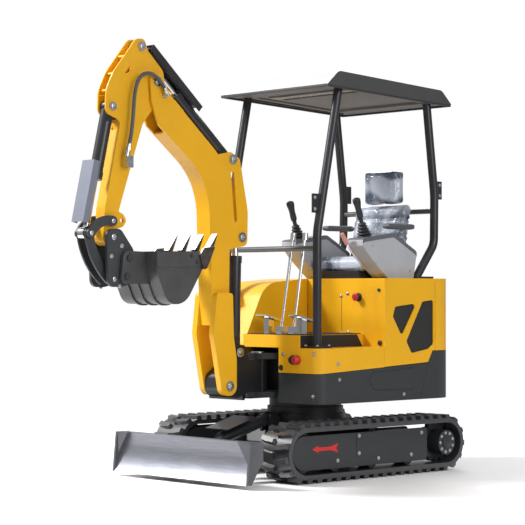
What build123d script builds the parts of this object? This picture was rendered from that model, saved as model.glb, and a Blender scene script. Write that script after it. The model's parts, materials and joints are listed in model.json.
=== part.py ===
from build123d import *
import math
import os

# Mini excavator, millimetres: +X forward, +Y to the operator's left, +Z up.
# It is drawn with the slew axis at x = 0, y = 0 and the ground at z = 0, and
# moved along X at the end so that the origin is the middle of its footprint.

# Fits
RUNNING_GAP = 0.3
PIN_GAP = 0.08
SIDE_GAP = 5.0
FILLET_SHARE = 0.97

# Tracks
TRACK_LENGTH = 1480.0
TRACK_HEIGHT = 330.0
TRACK_WIDTH = 230.0
TRACK_GAUGE = 896.0
TRACK_CENTRE_X = -40.0
BAND_THICKNESS = 26.0
LUG_HEIGHT = 22.0
LUG_COUNT = 43
LUG_HALF_LENGTH = 17.0
LUG_SKEW = 7.0
LUG_TAPER = 12.0
LUG_ROOT = 4.0
LUG_MARGIN = 4.0
LUG_DROP = 1.6

# Track frames, wheels and car body
FRAME_HALF_WIDTH = 65.0
FRAME_PLATE = 20.0
FRAME_PLATE_HEIGHT = 188.0
BEAM_HEIGHT = 70.0
IDLER_WIDTH = 110.0
ROLLER_RADIUS = 39.0
ROLLER_WIDTH = 100.0
ROLLER_SPACING = 300.0
TOP_ROLLER_RADIUS = 28.0
AXLE_RADIUS = 16.0
MOTOR_RADIUS = 72.0
SPROCKET_WIDTH = 30.0
HUB_RECESS = 7.0
SPROCKET_TEETH = 13
TOOTH_GAP_RADIUS = 12.0
CAR_BODY_HALF_LENGTH = 330.0
CAR_BODY_HALF_WIDTH = 315.0
CAR_BODY_BOTTOM = 120.0
CAR_BODY_TOP = 305.0
TIE_DOWN = (-356.0, 195.0)
TIE_DOWN_Y = 150.0
TIE_DOWN_PLATE = 20.0
TIE_DOWN_HOLE = 22.0
TIE_DOWN_RIM = 18.0
TURRET_RADIUS = 235.0
SLEW_RING_RADIUS = 222.0
SLEW_RING_Z = 345.0
SLEW_RING_LOWER = 38.0
SLEW_RING_UPPER = 46.0

# Blade
BLADE_WIDTH = 1136.0
BLADE_BOTTOM_Z = 25.0
BLADE_HEIGHT = 224.0
BLADE_EDGE_X = 986.0
BLADE_TOP_X = 942.0
BLADE_BELLY_X = 936.0
BLADE_PLATE = 14.0
BLADE_BACK_X = 872.0
BLADE_CHEEK = 14.0
CHEEK_LEAD = 20.0
GUSSET_WIDTH = 92.0
GUSSET_HEIGHT = 130.0
BLADE_PIVOT_X = 360.0
BLADE_PIVOT_Z = 185.0
BLADE_ARM_Y = 215.0
BLADE_ARM_WIDTH = 44.0
BLADE_LUG = 18.0
BLADE_PIN_RADIUS = 17.0
BLADE_ARM_END = 28.0
BLADE_GUARD_HALF_WIDTH = 95.0
BLADE_GUARD_LENGTH = 225.0
BLADE_GUARD_OFFSET = 62.0
BLADE_CYLINDER_BASE = (292.0, 325.0)
BLADE_CYLINDER_EYE = (812.0, 178.0)

# House
HOUSE_FRONT_X = 360.0
HOUSE_HALF_WIDTH = 480.0
TAIL_RADIUS = 880.0
FRONT_CORNER_RADIUS = 60.0
TAIL_CORNER_RADIUS = 190.0
SKIRT_BOTTOM_Z = 420.0
DECK_BOTTOM_Z = SLEW_RING_Z + SLEW_RING_LOWER + SLEW_RING_UPPER + 1.0
DECK_PLATE = 40.0
PANEL = 18.0
BELT_FRONT_Z = 590.0
BELT_REAR_Z = 633.0
LEDGE_Z = 731.0
FLOOR_Z = 803.0
FLOOR_LEFT_Y = 314.0
FLOOR_RIGHT_Y = -145.0
BAY_HALF_WIDTH = 151.0
SEAT_PANEL_X = -165.0
HOOD_TOP_Z = 1125.0
HOOD_REAR_X = -600.0
COUNTERWEIGHT_TOP_Z = 700.0
COUNTERWEIGHT_WALL = 135.0
RAIL_PLATE = 24.0
RAIL_OUTER_Y = 140.0
SEAM = 2.0
ENGINE_SIZE = (400.0, 470.0, 420.0)
ENGINE_CENTRE_X = -420.0
GROOVE_RADIUS = 4.0

# Canopy
POST_RADIUS = 25.0
POST_Y = 377.0
FRONT_POST_X = 277.0
FRONT_POST_BEND_Z = 1382.0
FRONT_POST_TOP = (107.0, 2205.0)
REAR_POST_FOOT_X = -545.0
REAR_POST_KNEE = (-708.0, 1330.0)
REAR_POST_MID = (-713.0, 1620.0)
REAR_POST_TOP = (-644.0, 2165.0)
POST_BEND_RADIUS = 110.0
POST_FOOT = 130.0
POST_FOOT_PLATE = 12.0
ROOF_FRONT_X = 268.0
ROOF_REAR_X = -790.0
ROOF_HALF_WIDTH = 450.0
ROOF_FRONT_TOP_Z = 2292.0
ROOF_REAR_TOP_Z = 2245.0
ROOF_DEPTH = 82.0
ROOF_SKIN = 14.0
ROOF_SLOPE = 92.0
RAIL_RADIUS = 16.0
FRONT_RAIL_Z = 1292.0
REAR_BAR_Z = 1530.0
LINING = 8.0
LINING_LIFT = 12.0
LINING_GAP = 4.0
LINING_SLOT = 45.0
LINING_HOLE = 9.0
POST_TAB_LOW_Z = 1490.0
POST_TAB_HEIGHT = 108.0
POST_TAB_REACH = 62.0
POST_TAB = 10.0

# Seat and controls
SEAT_Y = 95.0
SEAT_WIDTH = 420.0
SEAT_FRONT_X = -150.0
SEAT_REAR_X = -560.0
SEAT_BASE_HEIGHT = 44.0
CUSHION_HEIGHT = 78.0
BACK_HEIGHT = 330.0
BACK_THICKNESS = 95.0
HEADREST_WIDTH = 240.0
HEADREST_HEIGHT = 150.0
BACK_INSET = 10.0
ARMREST_LENGTH = 240.0
ARMREST_WIDTH = 62.0
CONSOLE_WIDTH = 120.0
CONSOLE_CLEARANCE = 3.0
CONSOLE_HEIGHT = 225.0
JOYSTICK_HEIGHT = 230.0
LEVER_SPACING = 100.0
LEVER_RADIUS = 9.0
PEDAL_HALF_WIDTH = 42.0

# Swing post and boom
KINGPOST_X = 380.0
KINGPOST_RADIUS = 26.0
KINGPOST_BARREL_RADIUS = 54.0
SWING_ROOM = 115.0
LUG_LOW_Z = 446.0
LUG_HIGH_Z = 664.0
LUG_THICKNESS = 34.0
BOOM_FOOT = (680.0, 522.0)
BOOM_CYLINDER_BASE = (566.0, 705.0)
BOOM_CYLINDER_EYE = (555.0, 1354.0)
ARM_CYLINDER_BASE = (625.0, 1790.0)
ARM_PIVOT = (1175.0, 2185.0)
BOOM_HALF_WIDTH = 55.0
BOOM_WALL = 9.0
FORK_LEG = 36.0
BRACKET_PLATE = 15.0
PIN_RADIUS = 20.0
PIN_HEAD = 8.0

# Arm, links, coupler and bucket
ARM_CYLINDER_EYE = (1274.0, 2368.0)
BUCKET_CYLINDER_BASE = (1472.0, 2032.0)
ARM_TIP = (1494.0, 1336.0)
ROCKER_PIVOT = (1478.0, 1422.0)
LINK_PIN = (1625.0, 1355.0)
COUPLER_PIN = (1490.0, 1114.0)
ARM_HALF_WIDTH = 38.0
ARM_WALL = 8.0
ROCKER_PLATE = 14.0
LINK_PLATE = 12.0
LINK_PIN_RADIUS = 15.0
EYE_HALF_WIDTH = 24.0
BUCKET_HALF_WIDTH = 190.0
BUCKET_WALL = 10.0
BUCKET_RIB = 8.0
BUCKET_RIB_WIDTH = 16.0
BUCKET_RIB_Y = 88.0
BUCKET_BAND = 6.0
SIDE_CUTTER = 12.0
BUCKET_LIP = (905.0, 1268.0)
BUCKET_TOOTH_TIP = (858.0, 1362.0)
TOOTH_COUNT = 4
TOOTH_WIDTH = 44.0

# Cylinders: barrel and rod radii and barrel lengths from pin to gland
CYLINDER_RADIUS = 35.0
CYLINDER_ROD_RADIUS = 18.0
EYE_RADIUS = 34.0
CYLINDER_NECK = 86.0
ROD_GUARD_HALF_WIDTH = 50.0
ROD_GUARD_OFFSET = 64.0
ROD_GUARD_FLANGE = 38.0
ROD_GUARD_PLATE = 4.0
ROD_GUARD_START = 48.0
ARM_GUARD_LENGTH = 470.0
BUCKET_GUARD_LENGTH = 335.0
BOOM_BARREL = 545.0
ARM_BARREL = 516.0
BUCKET_BARREL = 400.0
BLADE_BARREL = 400.0


def fitted(points, radii):
    """The corner radii, made smaller where two fillets would meet on a short side."""
    count = len(points)
    if not isinstance(radii, (list, tuple)):
        radii = [radii] * count
    corners = [Vector(*point) for point in points]
    sides = [corners[(index + 1) % count] - corners[index] for index in range(count)]
    tangents = []
    for index in range(count):
        arriving = sides[index - 1].normalized()
        leaving = sides[index].normalized()
        half_turn = math.acos(max(-1.0, min(1.0, arriving.dot(leaving)))) / 2
        tangents.append(radii[index] * math.tan(half_turn))
    scales = []
    for index in range(count):
        before = tangents[index - 1] + tangents[index]
        after = tangents[index] + tangents[(index + 1) % count]
        room = min(sides[index - 1].length / max(before, 0.001), sides[index].length / max(after, 0.001))
        scales.append(min(1.0, FILLET_SHARE * room))
    return [radius * scale for radius, scale in zip(radii, scales)]


def outline(points, radii):
    """A flat face through the corner points, with a fillet radius at each."""
    return make_face(FilletPolyline(*points, radius=fitted(points, radii), close=True))


def drawn_in(points, radii, amount):
    """The same outline with every side moved inwards, and its corner radii changed to suit."""
    count = len(points)
    corners = [Vector(*point) for point in points]
    area = sum(corners[i].X * corners[i - 1].Y - corners[i - 1].X * corners[i].Y for i in range(count))
    turn = -1.0 if area > 0 else 1.0
    inner_points = []
    inner_radii = []
    for index, corner in enumerate(corners):
        arriving = (corner - corners[index - 1]).normalized()
        leaving = (corners[(index + 1) % count] - corner).normalized()
        bend = turn * (arriving.X * leaving.Y - arriving.Y * leaving.X)
        normal = Vector(-arriving.Y - leaving.Y, arriving.X + leaving.X) * turn
        moved = corner + normal * (amount / (1 + arriving.dot(leaving)))
        inner_points.append((moved.X, moved.Y))
        radius = radii[index]
        change = -amount if bend > 0 else amount
        inner_radii.append(max(radius + change, 0.0) if radius > 0 else 0.0)
    return outline(inner_points, inner_radii)


def upright(high_y):
    """A drawing plane with X to the right and Z up, that extrudes towards -Y."""
    return Plane(origin=(0, high_y, 0), x_dir=(1, 0, 0), z_dir=(0, -1, 0))


def across(face, low_y, high_y):
    """A face drawn in X and Z, thickened between two Y values."""
    return extrude(upright(high_y) * face, amount=high_y - low_y, dir=(0, -1, 0))


def slab(points, radii, low_y, high_y):
    """A plate drawn in X and Z, between two Y values."""
    return across(outline(points, radii), low_y, high_y)


def bar_y(centre, radius, low_y, high_y):
    """A round bar along Y, about a point given in X and Z."""
    middle = Pos(centre[0], (low_y + high_y) / 2, centre[1])
    return middle * Rot(90, 0, 0) * Cylinder(radius, high_y - low_y)


def bar_z(x, y, radius, low_z, high_z):
    """A round bar along Z."""
    return Pos(x, y, (low_z + high_z) / 2) * Cylinder(radius, high_z - low_z)


def bar(start, end, radius):
    """A round bar between two points."""
    run = Vector(*end) - Vector(*start)
    return extrude(Plane(origin=start, z_dir=run) * Circle(radius), amount=run.length)


def block(low, high):
    """A box between its lowest and highest corners."""
    size = [top - bottom for bottom, top in zip(low, high)]
    centre = [(top + bottom) / 2 for bottom, top in zip(low, high)]
    return Pos(*centre) * Box(*size)


def tube_along(points, radii, radius):
    """A round bar swept along straight runs joined by arcs."""
    path = FilletPolyline(*points, radius=radii)
    return sweep(Plane(origin=path @ 0, z_dir=path % 0) * Circle(radius), path=path)


def both_sides(piece):
    """A piece and its mirror image across the XZ plane, as one compound."""
    return [piece, mirror(piece, about=Plane.XZ)]


# Undercarriage

TRACK_DEPTH = BAND_THICKNESS + LUG_HEIGHT
TRACK_MID_Z = TRACK_HEIGHT / 2
WHEEL_RADIUS = TRACK_MID_Z - TRACK_DEPTH - RUNNING_GAP
IDLER_X = TRACK_CENTRE_X + TRACK_LENGTH / 2 - TRACK_MID_Z
SPROCKET_X = TRACK_CENTRE_X - TRACK_LENGTH / 2 + TRACK_MID_Z
TRACK_Y = TRACK_GAUGE / 2
FRAME_INNER_Y = TRACK_Y - FRAME_HALF_WIDTH
FRAME_OUTER_Y = TRACK_Y + FRAME_HALF_WIDTH
FRAME_FRONT_X = IDLER_X + WHEEL_RADIUS - 30
FRAME_REAR_X = SPROCKET_X + WHEEL_RADIUS + 30
FRAME_LOW_Z = TRACK_MID_Z - FRAME_PLATE_HEIGHT / 2
FRAME_HIGH_Z = TRACK_MID_Z + FRAME_PLATE_HEIGHT / 2


def loop(length, height, width):
    """A stadium-shaped slab around the track's middle, lying across Y."""
    face = Pos(TRACK_CENTRE_X, TRACK_MID_Z) * SlotOverall(length, height)
    return across(face, TRACK_Y - width / 2, TRACK_Y + width / 2)


TRACK_STRAIGHT = TRACK_LENGTH - TRACK_HEIGHT
BAND_RADIUS = TRACK_MID_Z - LUG_HEIGHT
LUG_PITCH = 2 * (TRACK_STRAIGHT + math.pi * BAND_RADIUS) / LUG_COUNT


def track_station(distance):
    """A place on the band's outer face, by distance round the loop, with Z pointing outwards."""
    rear_x = TRACK_CENTRE_X - TRACK_STRAIGHT / 2
    front_x = TRACK_CENTRE_X + TRACK_STRAIGHT / 2
    arc = math.pi * BAND_RADIUS
    distance = distance % (LUG_PITCH * LUG_COUNT)
    if distance < TRACK_STRAIGHT:
        return Pos(rear_x + distance, TRACK_Y, TRACK_MID_Z - BAND_RADIUS) * Rot(0, 180, 0)
    distance = distance - TRACK_STRAIGHT
    if distance < arc:
        turn = math.degrees(distance / BAND_RADIUS)
        return Pos(front_x, TRACK_Y, TRACK_MID_Z) * Rot(0, 180 - turn, 0) * Pos(0, 0, BAND_RADIUS - LUG_DROP)
    distance = distance - arc
    if distance < TRACK_STRAIGHT:
        return Pos(front_x - distance, TRACK_Y, TRACK_MID_Z + BAND_RADIUS)
    turn = math.degrees((distance - TRACK_STRAIGHT) / BAND_RADIUS)
    return Pos(rear_x, TRACK_Y, TRACK_MID_Z) * Rot(0, -turn, 0) * Pos(0, 0, BAND_RADIUS - LUG_DROP)


def make_lug():
    """One skewed shoe on the left half of the band, standing on Z = 0."""
    long = LUG_HALF_LENGTH
    skew = LUG_SKEW
    edge = TRACK_WIDTH / 2 - LUG_MARGIN
    middle = edge / 2
    inner = LUG_MARGIN
    plan = [(skew - long, inner), (skew + long, inner), (long * 1.2, middle), (long - skew, edge),
            (-long * 1.3 - skew, edge), (-long * 1.1, middle)]
    face = make_face(Polyline(*plan, close=True))
    return extrude(Pos(0, 0, -LUG_ROOT) * face, amount=LUG_HEIGHT + LUG_ROOT, taper=LUG_TAPER)


def make_track():
    """The rubber track: a band round the wheels with two staggered rows of shoes."""
    outer = loop(TRACK_LENGTH - 2 * LUG_HEIGHT, TRACK_HEIGHT - 2 * LUG_HEIGHT, TRACK_WIDTH)
    hollow = loop(TRACK_LENGTH - 2 * TRACK_DEPTH, TRACK_HEIGHT - 2 * TRACK_DEPTH, TRACK_WIDTH + 2)
    left_lug = make_lug()
    right_lug = mirror(left_lug, about=Plane.XZ)
    lugs = []
    for index in range(LUG_COUNT):
        lugs.append(track_station(index * LUG_PITCH) * left_lug)
        lugs.append(track_station((index + 0.5) * LUG_PITCH) * right_lug)
    return outer - hollow + lugs


def make_track_frame():
    nose = FRAME_PLATE_HEIGHT / 2 - 1
    side = [(FRAME_REAR_X, FRAME_LOW_Z), (FRAME_FRONT_X, FRAME_LOW_Z),
            (FRAME_FRONT_X, FRAME_HIGH_Z), (FRAME_REAR_X, FRAME_HIGH_Z)]
    outer = slab(side, [20, nose, nose, 20], FRAME_OUTER_Y, FRAME_OUTER_Y + FRAME_PLATE)
    inner = slab(side, [20, nose, nose, 20], FRAME_INNER_Y - FRAME_PLATE, FRAME_INNER_Y)
    beam_front = IDLER_X - WHEEL_RADIUS - 20
    beam_low = TRACK_MID_Z - BEAM_HEIGHT / 2
    beam = block((FRAME_REAR_X, FRAME_INNER_Y, beam_low),
                 (beam_front, FRAME_OUTER_Y, beam_low + BEAM_HEIGHT))
    mount_low = FRAME_INNER_Y - FRAME_PLATE
    mount_side = [(SPROCKET_X - MOTOR_RADIUS, TRACK_MID_Z - MOTOR_RADIUS),
                  (FRAME_REAR_X + 40, TRACK_MID_Z - MOTOR_RADIUS),
                  (FRAME_REAR_X + 40, TRACK_MID_Z + MOTOR_RADIUS),
                  (SPROCKET_X - MOTOR_RADIUS, TRACK_MID_Z + MOTOR_RADIUS)]
    corner = MOTOR_RADIUS - 1
    motor_mount = slab(mount_side, [corner, 5, 5, corner], mount_low, FRAME_INNER_Y)
    seat = bar_y((SPROCKET_X, TRACK_MID_Z), MOTOR_RADIUS * 0.6 + RUNNING_GAP, mount_low - 1, FRAME_INNER_Y + 1)
    return outer + inner + beam + motor_mount - seat


def make_idler():
    centre = (IDLER_X, TRACK_MID_Z)
    half = IDLER_WIDTH / 2
    wheel = bar_y(centre, WHEEL_RADIUS, TRACK_Y - half, TRACK_Y + half)
    groove = wheel - bar_y(centre, WHEEL_RADIUS - 14, TRACK_Y - half, TRACK_Y + half)
    groove = groove & block((IDLER_X - 500, TRACK_Y - 22, 0), (IDLER_X + 500, TRACK_Y + 22, 1000))
    axle = bar_y(centre, AXLE_RADIUS, FRAME_INNER_Y, FRAME_OUTER_Y)
    return wheel - groove + axle


def make_sprocket():
    centre = (SPROCKET_X, TRACK_MID_Z)
    mount_low = FRAME_INNER_Y - FRAME_PLATE
    half = SPROCKET_WIDTH / 2
    hub_face = TRACK_Y + TRACK_WIDTH / 2 - HUB_RECESS
    disc = bar_y(centre, WHEEL_RADIUS, TRACK_Y - half, TRACK_Y + half)
    for index in range(SPROCKET_TEETH):
        turn = 2 * math.pi * index / SPROCKET_TEETH
        gap = (SPROCKET_X + WHEEL_RADIUS * math.cos(turn), TRACK_MID_Z + WHEEL_RADIUS * math.sin(turn))
        disc = disc - bar_y(gap, TOOTH_GAP_RADIUS, TRACK_Y - half - 1, TRACK_Y + half + 1)
    shaft = bar_y(centre, MOTOR_RADIUS * 0.6, mount_low, FRAME_INNER_Y)
    hub = bar_y(centre, MOTOR_RADIUS, FRAME_INNER_Y, hub_face)
    motor = bar_y(centre, MOTOR_RADIUS * 0.8, mount_low - 28, mount_low)
    return disc + shaft + hub + motor


def make_rollers():
    """Three track rollers and one top roller, each on its own axle."""
    rollers = []
    low_z = TRACK_DEPTH + RUNNING_GAP + ROLLER_RADIUS
    high_z = TRACK_HEIGHT - TRACK_DEPTH - RUNNING_GAP - TOP_ROLLER_RADIUS
    places = [(TRACK_CENTRE_X + step * ROLLER_SPACING, low_z, ROLLER_RADIUS) for step in (-1, 0, 1)]
    places.append((TRACK_CENTRE_X, high_z, TOP_ROLLER_RADIUS))
    for x, z, radius in places:
        wheel = bar_y((x, z), radius, TRACK_Y - ROLLER_WIDTH / 2, TRACK_Y + ROLLER_WIDTH / 2)
        axle = bar_y((x, z), AXLE_RADIUS * 0.7, FRAME_INNER_Y, FRAME_OUTER_Y)
        rollers.append(wheel + axle)
    return rollers


def make_tie_down():
    """A flat transport eye on the rear of the car body, with an upright hole."""
    eye_x, eye_z = TIE_DOWN
    reach = TIE_DOWN_HOLE + TIE_DOWN_RIM
    inside_x = -CAR_BODY_HALF_LENGTH + 70
    plan = [(eye_x - reach, TIE_DOWN_Y - reach), (inside_x, TIE_DOWN_Y - reach),
            (inside_x, TIE_DOWN_Y + reach), (eye_x - reach, TIE_DOWN_Y + reach)]
    low_z = eye_z - TIE_DOWN_PLATE / 2
    face = outline(plan, [reach - 2, 2, 2, reach - 2])
    plate = extrude(Pos(0, 0, low_z) * face, amount=TIE_DOWN_PLATE)
    return plate - bar_z(eye_x, TIE_DOWN_Y, TIE_DOWN_HOLE, low_z - 1, low_z + TIE_DOWN_PLATE + 1)


def make_car_body():
    half = CAR_BODY_HALF_LENGTH
    side = [(-half, CAR_BODY_BOTTOM + 60), (-half + 60, CAR_BODY_BOTTOM), (half - 60, CAR_BODY_BOTTOM),
            (half, CAR_BODY_BOTTOM + 60), (half - 80, CAR_BODY_TOP), (-half + 80, CAR_BODY_TOP)]
    body = slab(side, 15, -CAR_BODY_HALF_WIDTH, CAR_BODY_HALF_WIDTH)
    leg_y = FRAME_INNER_Y - FRAME_PLATE
    beam_low = TRACK_MID_Z - BEAM_HEIGHT / 2
    legs = block((-half + 80, -leg_y, beam_low), (half - 80, leg_y, beam_low + BEAM_HEIGHT))
    turret = bar_z(0, 0, TURRET_RADIUS, CAR_BODY_TOP - 40, SLEW_RING_Z)
    body = body + legs + turret
    for piece in both_sides(make_tie_down()):
        body = body + piece
    pivot = (BLADE_PIVOT_X, BLADE_PIVOT_Z)
    eye = BLADE_PIN_RADIUS * 2
    lug_side = [(half - 90, BLADE_PIVOT_Z - eye), (BLADE_PIVOT_X + eye, BLADE_PIVOT_Z - eye),
                (BLADE_PIVOT_X + eye, BLADE_PIVOT_Z + eye), (half - 90, BLADE_PIVOT_Z + eye)]
    for centre_y in (BLADE_ARM_Y, -BLADE_ARM_Y):
        reach = BLADE_ARM_WIDTH / 2 + 2
        for low_y in (centre_y - reach - BLADE_LUG, centre_y + reach):
            body = body + slab(lug_side, [5, eye - 1, eye - 1, 5], low_y, low_y + BLADE_LUG)
        body = body + bar_y(pivot, BLADE_PIN_RADIUS, centre_y - reach - 1, centre_y + reach + 1)
    base_x, base_z = BLADE_CYLINDER_BASE
    horn = [(base_x - 70, CAR_BODY_TOP - 30), (base_x + 30, CAR_BODY_TOP - 60),
            (base_x + 30, base_z + 28), (base_x - 30, base_z + 28)]
    for low_y in (EYE_HALF_WIDTH + 2, -EYE_HALF_WIDTH - 2 - BLADE_LUG):
        body = body + slab(horn, [5, 5, 25, 25], low_y, low_y + BLADE_LUG)
    pin_reach = EYE_HALF_WIDTH + 3
    return body + bar_y(BLADE_CYLINDER_BASE, BLADE_PIN_RADIUS, -pin_reach, pin_reach)


def make_slew_ring_lower():
    ring = bar_z(0, 0, SLEW_RING_RADIUS, SLEW_RING_Z, SLEW_RING_Z + SLEW_RING_LOWER)
    return ring - bar_z(0, 0, SLEW_RING_RADIUS - 60, SLEW_RING_Z - 1, SLEW_RING_Z + SLEW_RING_LOWER + 1)


def make_slew_ring_upper():
    """The turning half of the slew ring, bolted up under the deck."""
    low = SLEW_RING_Z + SLEW_RING_LOWER + RUNNING_GAP
    ring = bar_z(0, 0, SLEW_RING_RADIUS - 12, low, DECK_BOTTOM_Z + 1)
    return ring - bar_z(0, 0, SLEW_RING_RADIUS - 60, low - 1, DECK_BOTTOM_Z + 2)


# Blade

BLADE_TOP_Z = BLADE_BOTTOM_Z + BLADE_HEIGHT


def blade_face(set_back, back_x):
    """The blade's section: a hollow front, moved back by set_back, closed at back_x or by a parallel arc."""
    middle_z = BLADE_BOTTOM_Z + BLADE_HEIGHT * 0.55
    foot = (BLADE_EDGE_X - set_back, BLADE_BOTTOM_Z)
    belly = (BLADE_BELLY_X - set_back, middle_z)
    head = (BLADE_TOP_X - set_back, BLADE_TOP_Z)
    front = ThreePointArc(foot, belly, head)
    if back_x is None:
        back = ThreePointArc((head[0] - BLADE_PLATE, head[1]), (belly[0] - BLADE_PLATE, belly[1]),
                             (foot[0] - BLADE_PLATE, foot[1]))
    else:
        back = Polyline((back_x, BLADE_TOP_Z), (back_x, middle_z), (foot[0] - 30, BLADE_BOTTOM_Z))
    over = Line(head, back @ 0)
    under = Line(back @ 1, foot)
    return make_face([front, over, back, under])


def make_mouldboard():
    half = BLADE_WIDTH / 2 - BLADE_CHEEK
    plate = across(blade_face(0, None), -half, half)
    top_x = BLADE_TOP_X - BLADE_PLATE
    lip = block((top_x - 34, -half, BLADE_TOP_Z - 16), (top_x + 2, half, BLADE_TOP_Z))
    return plate + lip


def make_cheeks():
    """The end plates, straight in front, each with a corner gusset across the top of the hollow."""
    half = BLADE_WIDTH / 2
    inner = half - BLADE_CHEEK
    lead_x = BLADE_TOP_X + CHEEK_LEAD
    middle_z = BLADE_BOTTOM_Z + BLADE_HEIGHT * 0.55
    side = [(BLADE_EDGE_X - 30, BLADE_BOTTOM_Z), (BLADE_EDGE_X, BLADE_BOTTOM_Z), (lead_x, BLADE_TOP_Z),
            (BLADE_BACK_X, BLADE_TOP_Z), (BLADE_BACK_X, middle_z)]
    cheek = slab(side, 0, inner, half)
    corner = make_face(Polyline((inner + 1, BLADE_TOP_Z), (inner - GUSSET_WIDTH, BLADE_TOP_Z),
                                (inner + 1, BLADE_TOP_Z - GUSSET_HEIGHT), close=True))
    facing = Plane(origin=(BLADE_BACK_X, 0, 0), x_dir=(0, 1, 0), z_dir=(1, 0, 0))
    gusset = extrude(facing * corner, amount=lead_x - BLADE_BACK_X, dir=(1, 0, 0))
    gusset = gusset & slab(side, 0, 0, half)
    gusset = gusset - across(blade_face(-RUNNING_GAP, BLADE_BACK_X), 0, inner)
    return both_sides(cheek + gusset)


def make_blade_arms():
    """Two arms from the pivots to a cross box behind the mouldboard, with the cylinder's lugs on it."""
    box_x = BLADE_BELLY_X - BLADE_PLATE
    rear = box_x - 62
    half = BLADE_WIDTH / 2 - BLADE_CHEEK
    low_z = BLADE_BOTTOM_Z + 45
    high_z = BLADE_TOP_Z - 70
    box = block((rear, -half * 0.72, low_z), (box_x, half * 0.72, high_z))
    box = box - make_mouldboard()
    eye = BLADE_ARM_END
    side = [(BLADE_PIVOT_X - eye, BLADE_PIVOT_Z - eye), (BLADE_PIVOT_X + 60, BLADE_PIVOT_Z - eye),
            (rear + 10, low_z + 5), (rear + 10, high_z - 5), (BLADE_PIVOT_X + 60, BLADE_PIVOT_Z + eye),
            (BLADE_PIVOT_X - eye, BLADE_PIVOT_Z + eye)]
    pivot = (BLADE_PIVOT_X, BLADE_PIVOT_Z)
    for centre_y in (BLADE_ARM_Y, -BLADE_ARM_Y):
        low_y = centre_y - BLADE_ARM_WIDTH / 2
        arm = slab(side, [eye - 1, 60, 5, 5, 60, eye - 1], low_y, low_y + BLADE_ARM_WIDTH)
        box = box + arm - bar_y(pivot, BLADE_PIN_RADIUS + PIN_GAP, low_y - 1, low_y + BLADE_ARM_WIDTH + 1)
    eye_x, eye_z = BLADE_CYLINDER_EYE
    horn = [(rear + 5, low_z + 20), (rear + 5, eye_z + 34), (eye_x - 30, eye_z + 34), (eye_x - 30, eye_z - 30)]
    for low_y in (EYE_HALF_WIDTH + SIDE_GAP, -EYE_HALF_WIDTH - SIDE_GAP - BLADE_LUG):
        box = box + slab(horn, [3, 3, 28, 28], low_y, low_y + BLADE_LUG)
    return box


# House

def house_plan(inset):
    """The house seen from above: straight front and sides and a round tail, drawn in by inset."""
    length = HOUSE_FRONT_X + TAIL_RADIUS
    middle = (HOUSE_FRONT_X - TAIL_RADIUS) / 2
    body = Pos(middle, 0) * Rectangle(length - 2 * inset, 2 * (HOUSE_HALF_WIDTH - inset))
    body = body & Circle(TAIL_RADIUS - inset)
    front = [corner for corner in body.vertices() if corner.X > 0]
    body = fillet(front, FRONT_CORNER_RADIUS - min(inset, FRONT_CORNER_RADIUS - 5))
    rear = [corner for corner in body.vertices() if corner.X < -HOUSE_HALF_WIDTH]
    return fillet(rear, TAIL_CORNER_RADIUS - min(inset, TAIL_CORNER_RADIUS - 20))


def house_solid(inset, low_z, high_z):
    return extrude(Pos(0, 0, low_z) * house_plan(inset), amount=high_z - low_z)


def house_wall(wall, low_z, high_z, inset=0.0):
    """The wall that follows the house's plan between two heights."""
    return house_solid(inset, low_z, high_z) - house_solid(inset + wall, low_z - 1, high_z + 1)


SEAM_LOW_X = -472.0
SEAM_HIGH_X = -540.0
FAR = 2000.0


def belt_z(x):
    """Height of the line where the grey skirt meets the painted panels."""
    share = (HOUSE_FRONT_X - x) / (HOUSE_FRONT_X - SEAM_HIGH_X)
    return BELT_FRONT_Z + share * (BELT_REAR_Z - BELT_FRONT_Z)


def make_deck_frame():
    """Deck plate, two rails to the front and the pair of lugs that hold the swing post."""
    plate = house_solid(PANEL + RUNNING_GAP, DECK_BOTTOM_Z, DECK_BOTTOM_Z + DECK_PLATE)
    top = DECK_BOTTOM_Z + DECK_PLATE
    rail_front = HOUSE_FRONT_X - 60
    rail = block((SEAT_PANEL_X - 40, RAIL_OUTER_Y - RAIL_PLATE, top - 5), (rail_front, RAIL_OUTER_Y, LEDGE_Z))
    for piece in both_sides(rail):
        plate = plate + piece
    back_x = KINGPOST_X - 190
    bulkhead = block((back_x - RAIL_PLATE, -RAIL_OUTER_Y + 3, top - 5), (back_x, RAIL_OUTER_Y - 3, LEDGE_Z))
    plate = plate + bulkhead
    radius = KINGPOST_BARREL_RADIUS
    wide = RAIL_OUTER_Y - 3
    lug = [(back_x - 5, -wide), (KINGPOST_X - 90, -wide), (KINGPOST_X + radius, -radius),
           (KINGPOST_X + radius, radius), (KINGPOST_X - 90, wide), (back_x - 5, wide)]
    bay_half = RAIL_OUTER_Y - RAIL_PLATE
    bay = block((back_x, -bay_half, DECK_BOTTOM_Z - 1), (FAR, bay_half, top + 1))
    plate = plate - bay
    for low_z in (LUG_LOW_Z, LUG_HIGH_Z):
        face = outline(lug, [2, 30, radius - 1, radius - 1, 30, 2])
        plate = plate + extrude(Pos(0, 0, low_z) * face, amount=LUG_THICKNESS)
    hole = bar_z(KINGPOST_X, 0, KINGPOST_RADIUS + PIN_GAP, LUG_LOW_Z - 1, LUG_HIGH_Z + LUG_THICKNESS + 1)
    return plate - hole + make_slew_ring_upper()


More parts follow.
